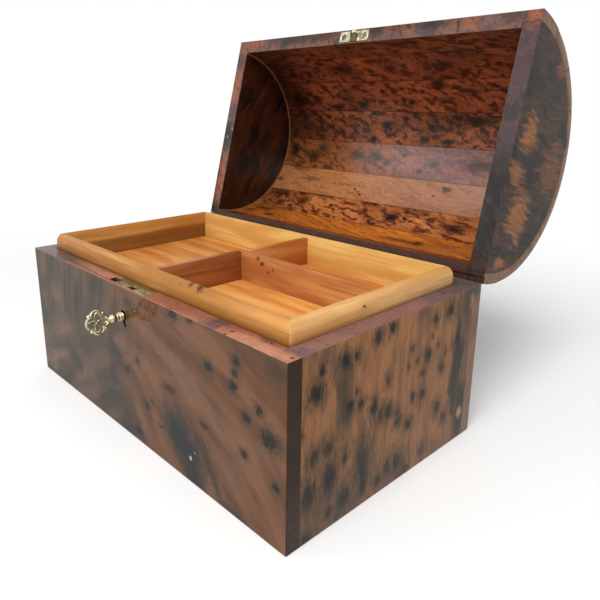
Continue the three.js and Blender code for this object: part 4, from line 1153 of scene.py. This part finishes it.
def screw_tree():
    """Geometry Nodes that set a slotted, countersunk screw at every point of a mesh."""
    tree, given = start_group("screws", "GeometryNodeTree", {
        "Geometry": "Geometry", "Head radius": "Float", "Shank radius": "Float",
        "Length": "Float", "Thread pitch": "Float", "Sides": "Int", "Metal": "Material"},
        "Geometry", "Geometry")
    head, shank, length = given["Head radius"], given["Shank radius"], given["Length"]
    # The head: a cone as deep as it is wider than the shank, with a slot cut across it
    depth = add(tree, "ShaderNodeMath", SUBTRACT, {0: head, 1: shank})
    cone = add(tree, "GeometryNodeMeshCone", {}, {
        "Vertices": given["Sides"], "Radius Top": head, "Radius Bottom": shank, "Depth": depth})
    down = add(tree, "ShaderNodeMath", MULTIPLY, {0: depth, 1: -1.0})
    sunk = add(tree, "ShaderNodeCombineXYZ", {}, {2: down})
    countersink = add(tree, "GeometryNodeTransform", {}, {
        "Geometry": cone.outputs["Mesh"], "Translation": sunk})
    slot_size = add(tree, "ShaderNodeCombineXYZ", {}, dict(enumerate(SLOT)))
    slot = add(tree, "GeometryNodeMeshCube", {}, {"Size": slot_size})
    cut = add(tree, "GeometryNodeMeshBoolean", {"operation": "DIFFERENCE"},
              {"Mesh 1": countersink, "Mesh 2": slot.outputs["Mesh"]})
    # The shank: a cone down to a blunt point
    body_length = add(tree, "ShaderNodeMath", ADD, {0: length, 1: down})
    point = add(tree, "ShaderNodeMath", MULTIPLY, {0: shank, 1: 0.35})
    core = add(tree, "GeometryNodeMeshCone", {}, {
        "Vertices": 12, "Radius Top": shank, "Radius Bottom": point, "Depth": body_length})
    low = add(tree, "ShaderNodeMath", MULTIPLY, {0: length, 1: -1.0})
    lowest = add(tree, "ShaderNodeCombineXYZ", {}, {2: low})
    stem = add(tree, "GeometryNodeTransform", {}, {
        "Geometry": core.outputs["Mesh"], "Translation": lowest})
    # The thread: a fine ridge wound round the shank in whole turns
    turns = add(tree, "ShaderNodeMath", DIVIDE, {0: body_length, 1: given["Thread pitch"]})
    whole = add(tree, "ShaderNodeMath", {"operation": "FLOOR"}, {0: turns})
    helix = add(tree, "GeometryNodeCurveSpiral", {}, {
        "Resolution": 14, "Rotations": whole, "Start Radius": point, "End Radius": shank,
        "Height": body_length})
    ridge = add(tree, "GeometryNodeCurvePrimitiveCircle", {}, {
        "Resolution": 4, "Radius": 0.18 * MM})
    thread = add(tree, "GeometryNodeCurveToMesh", {}, {
        "Curve": helix, "Profile Curve": ridge.outputs["Curve"], "Fill Caps": True})
    wound = add(tree, "GeometryNodeTransform", {}, {"Geometry": thread, "Translation": lowest})
    joined = add(tree, "GeometryNodeJoinGeometry")
    for part in (cut, stem, wound):
        tree.links.new(part.outputs[0], joined.inputs[0])
    turn = add(tree, "GeometryNodeInputNamedAttribute", {"data_type": "FLOAT_VECTOR"},
               {"Name": "turn"})
    placed = add(tree, "GeometryNodeInstanceOnPoints", {}, {
        "Points": given["Geometry"], "Instance": joined, "Rotation": turn})
    finish_group(tree, placed, given["Metal"])
    return tree


class JEWELRYBOX_OT_screws(Operator):
    """Sets the screws of the lock, the hook plate and the hinges"""
    bl_idname = "jewelrybox.screws"
    bl_label = "Set the screws"

    def execute(self, context):
        tree = screw_tree()
        backwards = Matrix.Rotation(-math.pi / 2, 4, "X")
        upwards = Matrix.Rotation(math.pi, 4, "X")
        hinge_screws = [f"{side}_{i}" for side in ("left", "right") for i in (1, 2)]
        # Body, radius of the head and the shank and length in mm, where the head faces, what
        # carries it, where the heads are in mm, the CAD's screws, and how their slots are turned
        rows = {
            "lock_screws": (
                "box", (1.9, 0.9, 6), backwards, Matrix(),
                [(-12, -77.5, 76.5), (14, -77.5, 76.5), (15, -77.5, 99)],
                [f"lock_screw_{i}" for i in (1, 2, 3)], (20, 75, -35)),
            "hinge_base_screws": (
                "box", (2, 1, 9), backwards, Matrix(),
                [(x, 90, 102.5) for x in (-109, -91, 91, 109)],
                [f"hinge_base_screw_{screw}" for screw in hinge_screws], (10, 60, -20, 40)),
            "hinge_lid_screws": (
                "lid", (2, 1, 9), backwards, LID_OPEN,
                [(x, 90, 114) for x in (-109, -91, 91, 109)],
                [f"hinge_lid_screw_{screw}" for screw in hinge_screws], (0, 35, 70, -50)),
            "hook_screws": (
                "lid", (2.3, 1.1, 8), upwards, LID_OPEN,
                [(-15, -84.75, 108.5), (6.5, -84.75, 108.5)],
                ["hook_screw_1", "hook_screw_2"], (35, -25)),
        }
        for name, (body, sizes, facing, carried, places, nodes, slots) in rows.items():
            points = bpy.data.meshes.new(name)
            points.from_pydata([carried @ (Vector(place) * MM) for place in places], [], [])
            turns = points.attributes.new("turn", "FLOAT_VECTOR", "POINT")
            for i, slot_angle in enumerate(slots):
                slot_turn = Matrix.Rotation(math.radians(slot_angle), 4, "Z")
                turned = carried.to_3x3().to_4x4() @ facing @ slot_turn
                turns.data[i].vector = turned.to_euler()
            head, shank, length = ((size - less) * MM for size, less in zip(sizes, SCREW_LESS))
            mesh = run_tree(tree, points, {
                "Head radius": head, "Shank radius": shank, "Length": length,
                "Thread pitch": THREAD_PITCH, "Sides": context.scene.jewelry_box_metals.sides,
                "Metal": bpy.data.materials["zinc-plated steel"]})
            mesh.name = name
            mesh.set_sharp_from_angle(angle=SHARP_FROM)
            stand_in(mesh, name, body, "screws", *nodes)
        return {"FINISHED"}


# The stage: the floor's radius and where it fades, the lamps' places and sizes, what they look
# at, and the camera as it was fitted to the photograph
FLOOR_RADIUS = 6
FADES_FROM, FADES_TO = 0.25, 0.75
LAMPS = {"soft lamp": ((0.45, -0.85, 1.35), 1.0), "fill lamp": ((-0.9, -1.2, 0.8), 0.8)}
LIT = Vector((0, 0, 0.1))
CAMERA = (0.3263, -0.2637, 0.2249)
AZIMUTH, ELEVATION = math.radians(47.678), math.radians(15.143)
SHIFT = (0.0558, -0.0681)


def seen_by(tree, *rays):
    """1 for the rays that should see a plain white surround, and 0 for the light on the object."""
    kinds = add(tree, "ShaderNodeLightPath").outputs
    seen = kinds[rays[0]]
    for ray in rays[1:]:
        seen = add(tree, "ShaderNodeMath", MAXIMUM, {0: seen, 1: kinds[ray]})
    return seen


class JEWELRYBOX_OT_stage(Operator):
    """Sets the floor, the lamps, the world and the camera"""
    bl_idname = "jewelrybox.stage"
    bl_label = "Set the stage"

    def set_floor(self, stage):
        """Lays matt white paper that fades into the white surround away from the box."""
        shape = bmesh.new()
        bmesh.ops.create_circle(shape, cap_ends=True, segments=96, radius=FLOOR_RADIUS)
        mesh = bpy.data.meshes.new("floor")
        shape.to_mesh(mesh)
        shape.free()
        paper = bpy.data.materials.new("white paper")
        tree = empty_tree(paper)
        place = add(tree, "ShaderNodeTexCoord").outputs["Object"]
        away = add(tree, "ShaderNodeVectorMath", LENGTH, {0: place}).outputs["Value"]
        far = add(tree, "ShaderNodeMapRange", SMOOTH,
                  {"Value": away, "From Min": FADES_FROM, "From Max": FADES_TO})
        seen = seen_by(tree, "Is Camera Ray", "Is Glossy Ray")
        fade = add(tree, "ShaderNodeMath", MULTIPLY, {0: far, 1: seen})
        matt = add(tree, "ShaderNodeBsdfDiffuse", {}, {"Color": [*stage.floor, 1]})
        glow = add(tree, "ShaderNodeEmission", {}, {"Strength": 1.0})
        both = add(tree, "ShaderNodeMixShader", {}, {0: fade, 1: matt, 2: glow})
        add(tree, "ShaderNodeOutputMaterial", {}, {"Surface": both})
        mesh.materials.append(paper)
        new_object("floor", mesh)

    def set_world(self, scene, stage):
        """Makes the surround: white to the eye, and a plain soft light on the box."""
        scene.world = bpy.data.worlds.new("studio")
        tree = empty_tree(scene.world)
        seen = seen_by(tree, "Is Camera Ray", "Is Glossy Ray", "Is Transmission Ray")
        strength = add(tree, "ShaderNodeMix", {}, {0: seen, 2: stage.ambient, 3: 1.0})
        sky = add(tree, "ShaderNodeBackground", {}, {"Color": (1, 1, 1, 1), "Strength": strength})
        add(tree, "ShaderNodeOutputWorld", {}, {"Surface": sky})

    def set_lamps(self, scene, stage):
        """Hangs the large soft lamp and the small fill lamp."""
        for (name, (place, size)), power in zip(LAMPS.items(), (stage.lamp, stage.fill)):
            data = bpy.data.lights.new(name, "AREA")
            data.shape = "DISK"
            data.size = size
            data.energy = power
            lamp = bpy.data.objects.new(name, data)
            lamp.location = place
            lamp.rotation_euler = (LIT - Vector(place)).to_track_quat("-Z", "Y").to_euler()
            scene.collection.objects.link(lamp)

    def set_camera(self, scene, stage):
        """Sets the photograph's camera."""
        back = Vector((math.sin(AZIMUTH) * math.cos(ELEVATION),
                       -math.cos(AZIMUTH) * math.cos(ELEVATION), math.sin(ELEVATION)))
        right = Vector((math.cos(AZIMUTH), math.sin(AZIMUTH), 0))
        data = bpy.data.cameras.new("camera")
        data.sensor_width = 36
        data.lens = stage.lens
        data.shift_x, data.shift_y = SHIFT
        data.clip_start = 0.01
        camera = bpy.data.objects.new("camera", data)
        camera.matrix_world = Matrix((right, back.cross(right), back)).transposed().to_4x4()
        camera.location = CAMERA
        scene.collection.objects.link(camera)
        scene.camera = camera

    def execute(self, context):
        scene = context.scene
        stage = scene.jewelry_box_stage
        self.set_floor(stage)
        self.set_world(scene, stage)
        self.set_lamps(scene, stage)
        self.set_camera(scene, stage)
        scene.view_settings.view_transform = "Standard"
        return {"FINISHED"}


class JEWELRYBOX_PT_panel(Panel):
    """Lists the steps and their settings"""
    bl_idname = "JEWELRYBOX_PT_panel"
    bl_label = "Jewelry box"
    bl_space_type = "VIEW_3D"
    bl_region_type = "UI"
    bl_category = "Jewelry box"

    def draw(self, context):
        for operator in OPERATORS:
            self.layout.operator(operator.bl_idname)
        for name in SETTINGS:
            box = self.layout.box()
            settings = getattr(context.scene, name)
            for setting in settings.bl_rna.properties.keys():
                if setting not in ("rna_type", "name"):
                    box.prop(settings, setting)


OPERATORS = (JEWELRYBOX_OT_finishes, JEWELRYBOX_OT_boards, JEWELRYBOX_OT_lid, JEWELRYBOX_OT_tray,
             JEWELRYBOX_OT_lock, JEWELRYBOX_OT_key, JEWELRYBOX_OT_screws, JEWELRYBOX_OT_stage)
SETTINGS = {"jewelry_box_woods": JewelryBoxWoods, "jewelry_box_metals": JewelryBoxMetals,
            "jewelry_box_stage": JewelryBoxStage}
CLASSES = (*SETTINGS.values(), *OPERATORS, JEWELRYBOX_PT_panel)


def register():
    for cls in CLASSES:
        bpy.utils.register_class(cls)
    for name, settings in SETTINGS.items():
        setattr(bpy.types.Scene, name, PointerProperty(type=settings))


def unregister():
    for name in SETTINGS:
        delattr(bpy.types.Scene, name)
    for cls in reversed(CLASSES):
        bpy.utils.unregister_class(cls)


def main():
    register()
    bpy.ops.jewelrybox.finishes()
    bpy.ops.jewelrybox.boards()
    bpy.ops.jewelrybox.lid()
    bpy.ops.jewelrybox.tray()
    bpy.ops.jewelrybox.lock()
    bpy.ops.jewelrybox.key()
    bpy.ops.jewelrybox.screws()
    bpy.ops.jewelrybox.stage()


if __name__ == "__main__":
    main()
